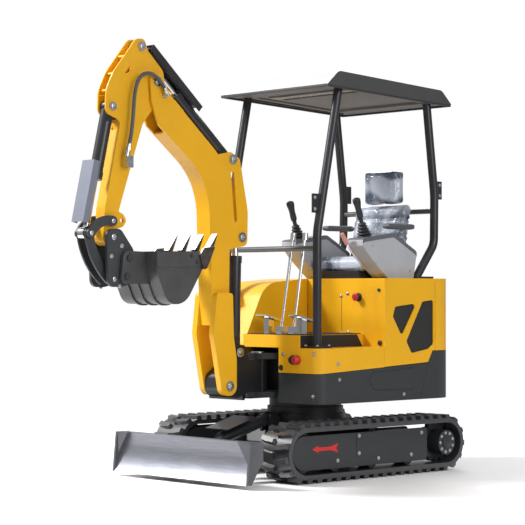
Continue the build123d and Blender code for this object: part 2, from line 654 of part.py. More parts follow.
def make_counterweight():
    wall = house_wall(COUNTERWEIGHT_WALL, SKIRT_BOTTOM_Z, COUNTERWEIGHT_TOP_Z)
    rear = [(-FAR, 0), (SEAM_LOW_X, 0), (SEAM_LOW_X, SKIRT_BOTTOM_Z), (SEAM_HIGH_X, BELT_REAR_Z),
            (SEAM_HIGH_X - 40, COUNTERWEIGHT_TOP_Z + 1), (-FAR, COUNTERWEIGHT_TOP_Z + 1)]
    wall = wall & slab(rear, 0, -FAR, FAR)
    deck = house_solid(PANEL, DECK_BOTTOM_Z - RUNNING_GAP, DECK_BOTTOM_Z + DECK_PLATE + RUNNING_GAP)
    return wall - deck


SKIRT_GROOVE = [(-400.0, BELT_REAR_Z - 27), (-66.0, BELT_REAR_Z - 45), (-30.0, BELT_REAR_Z - 81),
                (-77.0, SKIRT_BOTTOM_Z + 68), (-400.0, SKIRT_BOTTOM_Z + 60)]


def make_skirt(left):
    """A grey side skirt that wraps round the front corner to the swing bay."""
    wall = house_wall(PANEL, SKIRT_BOTTOM_Z, BELT_REAR_Z)
    side = [(FAR, SKIRT_BOTTOM_Z), (FAR, belt_z(FAR) - SEAM), (SEAM_HIGH_X + SEAM, belt_z(SEAM_HIGH_X) - SEAM),
            (SEAM_LOW_X + SEAM, SKIRT_BOTTOM_Z)]
    face_y = HOUSE_HALF_WIDTH if left else -HOUSE_HALF_WIDTH
    low_y, high_y = (BAY_HALF_WIDTH, FAR) if left else (-FAR, -BAY_HALF_WIDTH)
    skirt = wall & slab(side, 0, low_y, high_y)
    for start, end in zip(SKIRT_GROOVE, SKIRT_GROOVE[1:]):
        skirt = skirt - bar((start[0], face_y, start[1]), (end[0], face_y, end[1]), GROOVE_RADIUS)
        skirt = skirt - Pos(end[0], face_y, end[1]) * Sphere(GROOVE_RADIUS)
    return skirt


def make_step_box():
    """The painted box under the left ledge, open underneath."""
    outer = house_solid(0, BELT_FRONT_Z, LEDGE_Z)
    inner = house_solid(PANEL, BELT_FRONT_Z - 1, LEDGE_Z - PANEL)
    side = [(SEAT_PANEL_X, belt_z(SEAT_PANEL_X)), (FAR, belt_z(FAR)), (FAR, LEDGE_Z + 1), (SEAT_PANEL_X, LEDGE_Z + 1)]
    box = (outer - inner) & slab(side, 0, BAY_HALF_WIDTH, FAR)
    return box


def make_floor():
    """The raised floor, a tray turned upside down."""
    low = (SEAT_PANEL_X, FLOOR_RIGHT_Y, LEDGE_Z)
    high = (HOUSE_FRONT_X, FLOOR_LEFT_Y, FLOOR_Z)
    tray = block(low, high)
    inside = block((low[0] + PANEL, low[1] + PANEL, low[2] - 1),
                   (high[0] - PANEL, high[1] - PANEL, high[2] - PANEL))
    return tray - inside


RIGHT_BODY_CREST = (185.0, 1098.0)


def make_right_body():
    """The cover over the tanks on the operator's right, open underneath, with the post's boss on it."""
    crest_x, crest_z = RIGHT_BODY_CREST
    rear_x = SEAT_PANEL_X + 2
    side = [(rear_x, belt_z(rear_x)), (HOUSE_FRONT_X, BELT_FRONT_Z), (HOUSE_FRONT_X, LEDGE_Z + 10),
            (crest_x, crest_z), (rear_x, HOOD_TOP_Z)]
    radii = [0, 0, 60, 170, 0]
    right_y = FLOOR_RIGHT_Y - 1
    shell = slab(side, radii, -FAR, right_y) & house_solid(0, BELT_FRONT_Z - 1, HOOD_TOP_Z + 1)
    inner_side = [(rear_x + PANEL, 0), (HOUSE_FRONT_X - PANEL, 0), (HOUSE_FRONT_X - PANEL, LEDGE_Z + 4),
                  (crest_x - 10, crest_z - PANEL), (rear_x + PANEL, HOOD_TOP_Z - PANEL)]
    inner = slab(inner_side, radii, -FAR, right_y - PANEL) & house_solid(PANEL, 0, HOOD_TOP_Z)
    boss_top = right_post_foot_z()
    boss = bar_z(FRONT_POST_X, -POST_Y, POST_FOOT / 2, boss_top - 180, boss_top)
    boss = boss & slab([(-FAR, 0), (HOUSE_FRONT_X - 1, 0), (HOUSE_FRONT_X - 1, FAR), (-FAR, FAR)], 0, -FAR, FAR)
    return shell - inner + boss


def right_post_foot_z():
    """Height of the flat boss on the right body under its post."""
    crest_x, crest_z = RIGHT_BODY_CREST
    share = (HOUSE_FRONT_X - FRONT_POST_X + POST_FOOT / 2) / (HOUSE_FRONT_X - crest_x)
    return LEDGE_Z + 10 + share * (crest_z - LEDGE_Z - 10)


def hood_wall(low_z):
    return house_wall(PANEL, low_z, HOOD_TOP_Z - PANEL)


def make_hood_side(left):
    """A hood side panel with two grille windows."""
    low_y, high_y = (0.0, FAR) if left else (-FAR, 0.0)
    front_x = SEAT_PANEL_X - 1
    rear_x = HOOD_REAR_X
    side = [(front_x, belt_z(front_x) + 2), (front_x, HOOD_TOP_Z), (rear_x, HOOD_TOP_Z),
            (rear_x, COUNTERWEIGHT_TOP_Z + SEAM), (SEAM_HIGH_X - 40 + SEAM, COUNTERWEIGHT_TOP_Z + SEAM),
            (SEAM_HIGH_X + SEAM, BELT_REAR_Z + SEAM)]
    panel = hood_wall(BELT_FRONT_Z) & slab(side, 0, low_y, high_y)
    for points in grille_windows():
        panel = panel - slab(points, GRILLE_CORNER, low_y, high_y)
    return panel


# Window corners, behind the seat panel and below the hood's top
GRILLE_FRONT = [(90.0, 163.0), (275.0, 145.0), (145.0, 335.0), (70.0, 220.0)]
GRILLE_REAR = [(325.0, 135.0), (420.0, 125.0), (420.0, 385.0), (375.0, 413.0), (230.0, 435.0), (185.0, 365.0)]
GRILLE_RECESS = 6.0
GRILLE_PLATE = 8.0
GRILLE_CORNER = 18.0


def grille_windows():
    windows = []
    for corners in (GRILLE_FRONT, GRILLE_REAR):
        windows.append([(SEAT_PANEL_X - back, HOOD_TOP_Z - down) for back, down in corners])
    return windows


def make_grilles(left):
    """The mesh plates that stand behind the hood windows."""
    plates = []
    high_y = HOUSE_HALF_WIDTH - GRILLE_RECESS
    for points in grille_windows():
        face = drawn_in(points, [GRILLE_CORNER] * len(points), RUNNING_GAP)
        plate = across(face, high_y - GRILLE_PLATE, high_y)
        plates.append(plate if left else mirror(plate, about=Plane.XZ))
    return plates


def make_hood_rear():
    wall = hood_wall(COUNTERWEIGHT_TOP_Z + 2)
    side = [(-FAR, COUNTERWEIGHT_TOP_Z), (HOOD_REAR_X - 3, COUNTERWEIGHT_TOP_Z), (HOOD_REAR_X - 3, HOOD_TOP_Z),
            (-FAR, HOOD_TOP_Z)]
    return wall & slab(side, 0, -FAR, FAR)


def make_hood_top():
    """The deck over the engine, which carries the seat and the rear posts."""
    plate = house_solid(0, HOOD_TOP_Z - PANEL, HOOD_TOP_Z)
    return plate & block((-FAR, -FAR, 0), (SEAT_PANEL_X, FAR, FAR))


def make_seat_panel():
    low = (SEAT_PANEL_X - PANEL, FLOOR_RIGHT_Y, LEDGE_Z)
    high = (SEAT_PANEL_X - 1, HOUSE_HALF_WIDTH - PANEL - 1, HOOD_TOP_Z - PANEL)
    return block(low, high)


def make_engine():
    length, width, height = ENGINE_SIZE
    low_z = DECK_BOTTOM_Z + DECK_PLATE
    return block((ENGINE_CENTRE_X - length / 2, -width / 2, low_z),
                 (ENGINE_CENTRE_X + length / 2, width / 2, low_z + height))


# Canopy

def between_heights(low_z, high_z):
    return block((-FAR, -FAR, low_z), (FAR, FAR, high_z))


def make_front_post(left):
    foot_z = LEDGE_Z if left else right_post_foot_z()
    y = POST_Y if left else -POST_Y
    top_x, top_z = FRONT_POST_TOP
    bend = Vector(FRONT_POST_X, y, FRONT_POST_BEND_Z)
    over = Vector(top_x, y, top_z) + (Vector(top_x, y, top_z) - bend).normalized() * POST_RADIUS
    points = [(FRONT_POST_X, y, foot_z), tuple(bend), tuple(over)]
    post = tube_along(points, POST_BEND_RADIUS * 3, POST_RADIUS) & between_heights(foot_z + 1, top_z - RUNNING_GAP)
    half = POST_FOOT / 2 - 8
    foot = block((FRONT_POST_X - half, y - half, foot_z), (FRONT_POST_X + half, y + half, foot_z + POST_FOOT_PLATE))
    return post + foot + post_tab(front_post_x(POST_TAB_LOW_Z), y, 1)


def front_post_x(z):
    """Where a front post's centre line stands at a height above its bend."""
    share = (z - FRONT_POST_BEND_Z) / (FRONT_POST_TOP[1] - FRONT_POST_BEND_Z)
    return FRONT_POST_X + share * (FRONT_POST_TOP[0] - FRONT_POST_X)


def post_tab(x, y, facing):
    """A flat mounting tab that stands out of a post, forwards or backwards."""
    near = x - facing * POST_RADIUS / 2
    far = x + facing * POST_TAB_REACH
    low = (min(near, far), y - POST_TAB / 2, POST_TAB_LOW_Z)
    return block(low, (max(near, far), y + POST_TAB / 2, POST_TAB_LOW_Z + POST_TAB_HEIGHT))


def make_rear_post(left):
    y = POST_Y if left else -POST_Y
    foot_z = HOOD_TOP_Z
    knee = Vector(REAR_POST_KNEE[0], y, REAR_POST_KNEE[1])
    middle = Vector(REAR_POST_MID[0], y, REAR_POST_MID[1])
    top = Vector(REAR_POST_TOP[0], y, REAR_POST_TOP[1])
    foot_point = Vector(REAR_POST_FOOT_X, y, foot_z)
    under = foot_point + (foot_point - knee).normalized() * POST_RADIUS
    over = top + (top - middle).normalized() * POST_RADIUS
    points = [tuple(under), tuple(knee), tuple(middle), tuple(over)]
    post = tube_along(points, [POST_BEND_RADIUS, POST_BEND_RADIUS * 6], POST_RADIUS)
    post = post & between_heights(foot_z + 1, REAR_POST_TOP[1] - RUNNING_GAP)
    half = POST_FOOT / 2
    foot = block((REAR_POST_FOOT_X - half - 20, y - half, foot_z),
                 (REAR_POST_FOOT_X + half, y + half, foot_z + POST_FOOT_PLATE))
    tab_rise = REAR_BAR_Z + RAIL_RADIUS + POST_TAB_HEIGHT / 2 - POST_TAB_LOW_Z
    return post + foot + Pos(0, 0, tab_rise) * post_tab(REAR_POST_MID[0], y, -1)


def post_x(front, z):
    """Where a post's centre line stands at a height."""
    if front:
        return FRONT_POST_X
    low_x, low_z = REAR_POST_KNEE
    high_x, high_z = REAR_POST_MID
    return low_x + (high_x - low_x) * (z - low_z) / (high_z - low_z)


def cross_bar(x, z):
    """A rail between a pair of posts, hollowed at its ends to seat on them."""
    rail = bar_y((x, z), RAIL_RADIUS, -POST_Y, POST_Y)
    for y in (POST_Y, -POST_Y):
        rail = rail - bar_z(x, y, POST_RADIUS + RUNNING_GAP, z - 100, z + 100)
    return rail


def roof_top_z(x):
    """Height of the roof's upper face, which slopes down to the rear."""
    share = (ROOF_FRONT_X - ROOF_SLOPE - x) / (ROOF_FRONT_X - ROOF_REAR_X - 2 * ROOF_SLOPE)
    return ROOF_FRONT_TOP_Z + share * (ROOF_REAR_TOP_Z - ROOF_FRONT_TOP_Z)


def make_roof():
    """A shallow tray turned upside down, with drooping edges, on a frame that meets the post tops."""
    front_x = ROOF_FRONT_X - ROOF_SLOPE
    rear_x = ROOF_REAR_X + ROOF_SLOPE
    front_edge_z = ROOF_FRONT_TOP_Z - ROOF_DEPTH
    rear_edge_z = ROOF_REAR_TOP_Z - ROOF_DEPTH
    side = [(ROOF_FRONT_X, front_edge_z), (front_x, ROOF_FRONT_TOP_Z), (rear_x, ROOF_REAR_TOP_Z),
            (ROOF_REAR_X, rear_edge_z)]
    tray = slab(side, [4, 50, 50, 4], -ROOF_HALF_WIDTH, ROOF_HALF_WIDTH)
    skin = ROOF_SKIN
    inside = [(ROOF_FRONT_X - 2 * skin, front_edge_z - 1), (front_x - 5, ROOF_FRONT_TOP_Z - skin),
              (rear_x + 5, ROOF_REAR_TOP_Z - skin), (ROOF_REAR_X + 2 * skin, rear_edge_z - 1)]
    half = ROOF_HALF_WIDTH - 2 * skin
    return tray - slab(inside, [0, 10, 10, 0], -half, half)


def make_roof_frame():
    """The headers under the roof that the four posts carry."""
    frame = None
    for x, z in (FRONT_POST_TOP, REAR_POST_TOP):
        top = roof_top_z(x) - ROOF_SKIN - 3
        beam = block((x - 35, -POST_Y - 30, z), (x + 35, POST_Y + 30, top))
        frame = beam if frame is None else frame + beam
    front_x, front_z = FRONT_POST_TOP
    rear_x, rear_z = REAR_POST_TOP
    for y in (POST_Y, -POST_Y):
        lift = ROOF_SKIN + RUNNING_GAP
        side = [(rear_x, rear_z + 4), (front_x, front_z + 4), (front_x, roof_top_z(front_x) - lift),
                (rear_x, roof_top_z(rear_x) - lift)]
        frame = frame + slab(side, 0, y - 20, y + 20)
    return frame + make_lining()


def make_lining():
    """The panel under the roof, with cross slots and rows of small holes."""
    front_z = ROOF_FRONT_TOP_Z - ROOF_DEPTH + LINING_LIFT
    rear_z = ROOF_REAR_TOP_Z - ROOF_DEPTH + LINING_LIFT
    inset = 2 * ROOF_SKIN + LINING_LIFT + LINING + LINING_GAP
    front_x = ROOF_FRONT_X - inset
    rear_x = ROOF_REAR_X + inset
    half = ROOF_HALF_WIDTH - 2 * ROOF_SKIN - LINING_GAP
    side = [(rear_x, rear_z), (front_x, front_z), (front_x, front_z + LINING), (rear_x, rear_z + LINING)]
    panel = slab(side, 0, -half, half)
    post_x_front = FRONT_POST_TOP[0]
    for slot_x in (post_x_front - 70, post_x_front - 200):
        slot = block((slot_x - LINING_SLOT, -half * 0.72, 0), (slot_x, half * 0.72, FAR * 2))
        panel = panel - slot
    for row_x in (post_x_front + 70, post_x_front - 157):
        for step in range(-3, 4):
            panel = panel - bar_z(row_x, step * half / 4, LINING_HOLE, 0, FAR * 2)
    return panel


# Seat and controls

SEAT_BASE_Z = HOOD_TOP_Z + SEAT_BASE_HEIGHT
CUSHION_TOP_Z = SEAT_BASE_Z + RUNNING_GAP + CUSHION_HEIGHT
BACK_FOOT_X = SEAT_REAR_X + BACK_THICKNESS
BACK_LEAN = 60.0


def make_seat_base():
    half = SEAT_WIDTH / 2 - 25
    side = [(SEAT_REAR_X, HOOD_TOP_Z), (SEAT_PANEL_X - 5, HOOD_TOP_Z), (SEAT_FRONT_X - 5, SEAT_BASE_Z),
            (SEAT_REAR_X, SEAT_BASE_Z)]
    return slab(side, 0, SEAT_Y - half, SEAT_Y + half)


def make_cushion():
    half = SEAT_WIDTH / 2
    low_z = SEAT_BASE_Z + RUNNING_GAP
    rear_x = SEAT_REAR_X + 20
    side = [(rear_x, low_z), (SEAT_FRONT_X, low_z), (SEAT_FRONT_X, CUSHION_TOP_Z), (rear_x, CUSHION_TOP_Z)]
    return slab(side, [10, 25, 35, 10], SEAT_Y - half, SEAT_Y + half)


def make_seat_back():
    half = SEAT_WIDTH / 2 - BACK_INSET
    low_z = CUSHION_TOP_Z + RUNNING_GAP
    high_z = low_z + BACK_HEIGHT
    side = [(SEAT_REAR_X, low_z), (BACK_FOOT_X, low_z), (BACK_FOOT_X - BACK_LEAN, high_z),
            (SEAT_REAR_X - BACK_LEAN, high_z)]
    return slab(side, [12, 12, 40, 40], SEAT_Y - half, SEAT_Y + half)


def make_headrest():
    half = HEADREST_WIDTH / 2
    low_z = CUSHION_TOP_Z + RUNNING_GAP + BACK_HEIGHT
    middle_x = SEAT_REAR_X - BACK_LEAN + BACK_THICKNESS / 2
    pad_low = low_z + 22
    pad = block((middle_x - 40, SEAT_Y - half, pad_low),
                (middle_x + 35, SEAT_Y + half, pad_low + HEADREST_HEIGHT))
    pad = fillet(pad.edges().filter_by(Axis.Y), 28)
    for y in (SEAT_Y - 55, SEAT_Y + 55):
        pad = pad + bar_z(middle_x, y, 7, low_z + RUNNING_GAP, pad_low + 20)
    return pad


CONSOLE_TOP_Z = HOOD_TOP_Z + CONSOLE_HEIGHT


def console_y(left):
    """The middle of a console, clear of the seat's side."""
    offset = (SEAT_WIDTH + CONSOLE_WIDTH) / 2 + CONSOLE_CLEARANCE
    return SEAT_Y + offset if left else SEAT_Y - offset


def make_console(left):
    """An armrest console that stands on the hood deck and reaches forward to its joystick."""
    y = console_y(left)
    side = [(-470, HOOD_TOP_Z), (-250, HOOD_TOP_Z), (-110, CONSOLE_TOP_Z - 110), (-40, CONSOLE_TOP_Z - 40),
            (-40, CONSOLE_TOP_Z), (-190, CONSOLE_TOP_Z + 20), (-300, CONSOLE_TOP_Z + 35), (-500, CONSOLE_TOP_Z - 70)]
    return slab(side, [5, 30, 30, 12, 12, 20, 40, 20], y - CONSOLE_WIDTH / 2, y + CONSOLE_WIDTH / 2)


def make_joystick(left):
    y = console_y(left)
    foot = (-120.0, y, CONSOLE_TOP_Z + 12)
    lean = 55.0
    top = (foot[0] + lean, y, foot[2] + JOYSTICK_HEIGHT)
    bellows_plane = Plane(origin=foot, z_dir=Vector(*top) - Vector(*foot))
    bellows = extrude(bellows_plane * Circle(44), amount=75, taper=20)
    stem = bar(foot, top, 11)
    grip_foot = Vector(*foot) + (Vector(*top) - Vector(*foot)) * 0.5
    grip = bar(tuple(grip_foot), top, 21)
    stick = bellows + stem + grip
    under = [(-190, CONSOLE_TOP_Z + 20), (-40, CONSOLE_TOP_Z), (-40, CONSOLE_TOP_Z - 60), (-190, CONSOLE_TOP_Z - 60)]
    return stick - slab(under, 0, y - CONSOLE_WIDTH, y + CONSOLE_WIDTH)


def make_armrest(left):
    """An arm pad on a pivot that stands out of the seat back's side."""
    side = SEAT_WIDTH / 2 - BACK_INSET
    low_z = CONSOLE_TOP_Z + 62
    rear_x = SEAT_REAR_X + 5
    pad = block((rear_x, side + 18, low_z),
                (rear_x + ARMREST_LENGTH, side + 18 + ARMREST_WIDTH, low_z + 38))
    pad = fillet(pad.edges().filter_by(Axis.Y), 16)
    pad = pad + bar_y((rear_x + 24, low_z + 19), 14, side + RUNNING_GAP, side + 20)
    if not left:
        pad = mirror(pad, about=Plane.XZ)
    return Pos(0, SEAT_Y, 0) * pad


def make_safety_lever():
    """The locking lever on the inner side of the left console."""
    face_y = console_y(True) - CONSOLE_WIDTH / 2
    y = face_y - 26
    foot = (-90.0, face_y, CONSOLE_TOP_Z - 60)
    knee = (-90.0, y, CONSOLE_TOP_Z - 60)
    top = (-70.0, y, CONSOLE_TOP_Z + 40)
    return bar(foot, knee, 8) + bar(knee, top, 9) + Pos(*knee) * Sphere(9)


def make_travel_levers():
    levers = []
    for side in (-0.5, 0.5):
        y = SEAT_Y + side * LEVER_SPACING
        foot = (235.0, y, FLOOR_Z + 30)
        top = (140.0, y, 1385.0)
        knob = bar((top[0] + 4, y, top[2] - 40), top, 16)
        socket = block((210, y - 22, FLOOR_Z), (260, y + 22, FLOOR_Z + 45))
        levers.append(bar(foot, top, LEVER_RADIUS) + knob + socket)
    return levers


def make_pedals():
    """The folding foot pedals beside the travel levers."""
    pedals = []
    for side in (-1, 1):
        y = SEAT_Y + side * (LEVER_SPACING / 2 + 85)
        side_view = [(190, FLOOR_Z + 70), (320, FLOOR_Z + 105), (318, FLOOR_Z + 113), (188, FLOOR_Z + 78)]
        plate = slab(side_view, 0, y - PEDAL_HALF_WIDTH, y + PEDAL_HALF_WIDTH)
        stand = block((235, y - 20, FLOOR_Z), (275, y + 20, FLOOR_Z + 90))
        pedals.append(plate + stand)
    return pedals


# Swing bracket and boom

BRACKET_HALF_WIDTH = BOOM_HALF_WIDTH - SIDE_GAP


def make_swing_bracket():
    """The casting between the swing post and the boom foot, with lugs for the boom cylinder on top."""
    low_z = LUG_LOW_Z + LUG_THICKNESS + 1
    high_z = LUG_HIGH_Z - 1
    foot_x, foot_z = BOOM_FOOT
    base_x, base_z = BOOM_CYLINDER_BASE
    eye = 58.0
    room_x = KINGPOST_X + SWING_ROOM
    side = [(KINGPOST_X, low_z), (room_x, low_z), (foot_x - 100, foot_z - eye - 15), (foot_x + eye, foot_z - eye),
            (foot_x + eye, foot_z + eye), (base_x + 52, base_z - 40), (base_x + 45, base_z + 44),
            (base_x - 45, base_z + 44), (room_x, high_z), (KINGPOST_X, high_z)]
    radii = [0, 0, 40, eye - 1, eye - 6, 30, 42, 42, 0, 0]
    half = BRACKET_HALF_WIDTH
    body = slab(side, radii, -half, half) - bar_z(KINGPOST_X, 0, KINGPOST_BARREL_RADIUS - 1, low_z - 1, high_z + 1)
    barrel = bar_z(KINGPOST_X, 0, KINGPOST_BARREL_RADIUS, low_z, high_z)
    body = body + barrel
    pocket_half = EYE_HALF_WIDTH + 2
    pocket_side = [(base_x - 90, base_z - 52), (base_x + 90, base_z - 52), (base_x + 90, base_z + 90),
                   (base_x - 90, base_z + 90)]
    pocket = slab(pocket_side, 30, -pocket_half, pocket_half)
    body = body - pocket
    body = body + bar_y(BOOM_CYLINDER_BASE, PIN_RADIUS, -half, half)
    body = body - bar_y(BOOM_FOOT, PIN_RADIUS + PIN_GAP, -half - 1, half + 1)
    return body - bar_z(KINGPOST_X, 0, KINGPOST_RADIUS + PIN_GAP, low_z - 1, high_z + 1)


def make_kingpost():
    """The swing pin, headed at the top."""
    top = LUG_HIGH_Z + LUG_THICKNESS
    pin = bar_z(KINGPOST_X, 0, KINGPOST_RADIUS, LUG_LOW_Z, top)
    return pin + bar_z(KINGPOST_X, 0, KINGPOST_RADIUS + 12, top, top + PIN_HEAD)


BOOM_KNEE_BACK = (640.0, 1736.0)
BOOM_KNEE_FRONT = (805.0, 1662.0)
BOOM_BOX_LOW_Z = 860.0
BOOM_TIP_RADIUS = 50.0
BOOM_BACK_LOW_X = 655.0
BOOM_FRONT_LOW_X = 774.0


def boom_outline():
    pivot_x, pivot_z = ARM_PIVOT
    points = [(BOOM_BACK_LOW_X, BOOM_BOX_LOW_Z), BOOM_KNEE_BACK, (pivot_x - 30, pivot_z - 15),
              (pivot_x + BOOM_TIP_RADIUS, pivot_z), (pivot_x + 42, pivot_z - 110), (pivot_x - 8, pivot_z - 235),
              BOOM_KNEE_FRONT, (BOOM_FRONT_LOW_X, BOOM_BOX_LOW_Z)]
    return points, [0, 370, 0, 0, 30, 30, 390, 0]


def make_boom():
    """The boom: a bent hollow box, fork legs at its foot, a fork at its tip and bracket plates on its back."""
    half = BOOM_HALF_WIDTH
    points, radii = boom_outline()
    box = slab(points, radii, -half, half) + bar_y(ARM_PIVOT, BOOM_TIP_RADIUS, -half, half)
    foot_x, foot_z = BOOM_FOOT
    eye = 54.0
    leg_points = [(foot_x - eye, foot_z - eye), (foot_x + eye, foot_z - eye), (foot_x + 120, foot_z + 290),
                  (BOOM_FRONT_LOW_X, BOOM_BOX_LOW_Z + 180), (BOOM_BACK_LOW_X, BOOM_BOX_LOW_Z + 180),
                  (foot_x - 32, foot_z + 270), (foot_x - eye, foot_z + 150)]
    leg = slab(leg_points, [eye - 1, eye - 1, 80, 20, 20, 40, 60], half - 1, half + FORK_LEG)
    for piece in both_sides(leg):
        box = box + piece
    base_x, base_z = ARM_CYLINDER_BASE
    eye_x, eye_z = BOOM_CYLINDER_EYE
    bracket_points = [(BOOM_BACK_LOW_X + 60, eye_z - 84), (base_x + 120, base_z + 20), (base_x + 15, base_z + 42),
                      (base_x - 55, base_z + 5), (eye_x - 46, eye_z + 146), (eye_x - 42, eye_z - 45),
                      (eye_x + 40, eye_z - 60)]
    bracket = slab(bracket_points, [10, 10, 36, 36, 200, 38, 20], half - BRACKET_PLATE, half)
    slot_points = [(eye_x + 35, eye_z + 86), (eye_x + 57, eye_z + 86), (base_x + 15, base_z - 70),
                   (base_x - 10, base_z - 70)]
    bracket = bracket - slab(slot_points, 9, 0, half + 1)
    for piece in both_sides(bracket):
        box = box + piece
    inner_half = half - BOOM_WALL
    box = box - across(drawn_in(points, radii, BOOM_WALL), -inner_half, inner_half)
    pivot_x, pivot_z = ARM_PIVOT
    gap = ARM_HALF_WIDTH + SIDE_GAP
    slot = [(pivot_x - 95, pivot_z + 140), (pivot_x - 95, pivot_z - 60), (pivot_x - 60, pivot_z - 280),
            (pivot_x + 200, pivot_z - 280), (pivot_x + 200, pivot_z + 140)]
    box = box - slab(slot, 0, -gap, gap)
    box = box + make_hose_step()
    box = box - bar_y(ARM_PIVOT, PIN_RADIUS + PIN_GAP, -half - 1, half + 1)
    box = box - bar_y(BOOM_FOOT, PIN_RADIUS + PIN_GAP, -FAR, FAR)
    box = box - bar_y(ARM_CYLINDER_BASE, PIN_RADIUS + PIN_GAP, -half - 1, half + 1)
    return box


HOSE_STEP_X = 1052.0
HOSE_STEP_LENGTH = 92.0
HOSE_STEP_HEIGHT = 9.0


def make_hose_step():
    """The raised pad on the boom's back where the hoses come through."""
    back = Vector(*BOOM_KNEE_BACK)
    tip = Vector(ARM_PIVOT[0] - 30, ARM_PIVOT[1] - 15)
    run = (tip - back).normalized()
    up = Vector(-run.Y, run.X)
    end = back + run * ((HOSE_STEP_X - back.X) / run.X)
    start = end - run * HOSE_STEP_LENGTH
    corners = [start - up * BOOM_WALL, end - up * BOOM_WALL, end + up * HOSE_STEP_HEIGHT,
               start + up * HOSE_STEP_HEIGHT]
    half = BOOM_HALF_WIDTH - BOOM_WALL
    return slab([(corner.X, corner.Y) for corner in corners], [0, 0, 4, 4], -half, half)


def headed_pin(centre, radius, half):
    """A pin with a thin head at each end."""
    pin = bar_y(centre, radius, -half, half)
    return pin + bar_y(centre, radius + 8, half, half + PIN_HEAD) + bar_y(centre, radius + 8, -half - PIN_HEAD, -half)


def make_boom_pins():
    pins = [headed_pin(BOOM_FOOT, PIN_RADIUS, BOOM_HALF_WIDTH + FORK_LEG),
            headed_pin(ARM_PIVOT, PIN_RADIUS, BOOM_HALF_WIDTH),
            headed_pin(ARM_CYLINDER_BASE, PIN_RADIUS, BOOM_HALF_WIDTH)]
    for cap in both_sides(bar_y(BOOM_CYLINDER_EYE, PIN_RADIUS + 8, BOOM_HALF_WIDTH, BOOM_HALF_WIDTH + PIN_HEAD)):
        pins.append(cap)
    return pins


# Arm

def arm_outline():
    pivot_x, pivot_z = ARM_PIVOT
    eye_x, eye_z = ARM_CYLINDER_EYE
    base_x, base_z = BUCKET_CYLINDER_BASE
    tip_x, tip_z = ARM_TIP
    points = [(eye_x - 46, eye_z - 20), (eye_x - 20, eye_z + 44), (eye_x + 38, eye_z + 38),
              (eye_x + 190, eye_z - 150), (base_x + 42, base_z + 90), (base_x + 46, base_z - 40),
              (base_x - 55, base_z - 70), (tip_x + 26, tip_z + 160), (tip_x + 45, tip_z - 45),
              (tip_x - 45, tip_z - 45), (tip_x - 68, tip_z + 150), (pivot_x + 90, pivot_z - 235),
              (pivot_x - 58, pivot_z - 58), (pivot_x - 58, pivot_z + 58)]
    return points, [25, 30, 40, 160, 160, 44, 30, 100, 44, 44, 100, 70, 57, 57]


def make_arm():
    """The arm: a hollow box with plates that carry the pivots."""
    half = ARM_HALF_WIDTH
    points, radii = arm_outline()
    inner = half - ARM_WALL
    arm = slab(points, radii, -half, half) - across(drawn_in(points, radii, ARM_WALL), -inner, inner)
    gap = EYE_HALF_WIDTH + 4
    eye_x, eye_z = ARM_CYLINDER_EYE
    rod_slot = [(eye_x - 240, eye_z - 270), (eye_x - 30, eye_z - 82), (eye_x + 40, eye_z - 82),
                (eye_x + 86, eye_z - 30), (eye_x + 86, eye_z + 90), (eye_x - 240, eye_z + 90)]
    arm = arm - slab(rod_slot, 0, -gap, gap)
    base_x, base_z = BUCKET_CYLINDER_BASE
    base_slot = [(base_x - 52, base_z - 120), (base_x - 40, base_z + 48), (base_x + 90, base_z + 60),
                 (base_x + 110, base_z - 120)]
    arm = arm - slab(base_slot, 0, -gap, gap)
    open_front = [(eye_x + 60, eye_z + 60), (eye_x + 280, eye_z - 60), (base_x + 120, base_z + 60),
                  (base_x - 10, base_z + 55), (eye_x + 120, eye_z - 190), (eye_x + 10, eye_z - 90)]
    arm = arm - slab(open_front, 0, -inner, inner)
    for across_x, across_z in ((eye_x + 101, eye_z - 62), (eye_x + 174, eye_z - 160), (base_x + 18, base_z + 84)):
        arm = arm + bar_y((across_x, across_z), ARM_SPACER_RADIUS, -half, half)
    window_x, window_z = eye_x + 98, eye_z - 134
    window = [(window_x + 24, window_z - 30), (window_x - 25, window_z + 30), (window_x - 22, window_z - 8)]
    arm = arm - slab(window, ARM_WINDOW_CORNER, -half - 1, half + 1)
    for piece in both_sides(make_arm_ear()):
        arm = arm + piece
    boss = bar_y(ARM_PIVOT, PIN_RADIUS + 18, -half, half)
    tip_boss = bar_y(ARM_TIP, PIN_RADIUS + 18, -half, half)
    rocker_boss = bar_y(ROCKER_PIVOT, LINK_PIN_RADIUS + 14, -half, half)
    arm = arm + boss + tip_boss + rocker_boss
    arm = arm - bar_y(ARM_PIVOT, PIN_RADIUS + PIN_GAP, -half - 1, half + 1)
    arm = arm - bar_y(ARM_TIP, PIN_RADIUS + PIN_GAP, -half - 1, half + 1)
    arm = arm - bar_y(ROCKER_PIVOT, LINK_PIN_RADIUS + PIN_GAP, -half - 1, half + 1)
    return arm - bar_y(BUCKET_CYLINDER_BASE, LINK_PIN_RADIUS + PIN_GAP, -half - 1, half + 1)


ARM_SPACER_RADIUS = 9.0
ARM_WINDOW_CORNER = 4.0
ARM_EAR = 16.0
ARM_EAR_HOLE = 12.0


def make_arm_ear():
    """The lug on the arm's inner side that takes a clamp's pin."""
    tip_x, tip_z = ARM_TIP
    hole = (tip_x - 87, tip_z + 91)
    side = [(hole[0] + 50, hole[1] + 60), (hole[0] - 8, hole[1] + 34), (hole[0] - 34, hole[1]),
            (hole[0] - 8, hole[1] - 34), (hole[0] + 50, hole[1] - 50)]
    high_y = ARM_HALF_WIDTH
    ear = slab(side, [0, 26, 26, 26, 0], high_y - ARM_EAR, high_y)
    return ear - bar_y(hole, ARM_EAR_HOLE, high_y - ARM_EAR - 1, high_y + 1)


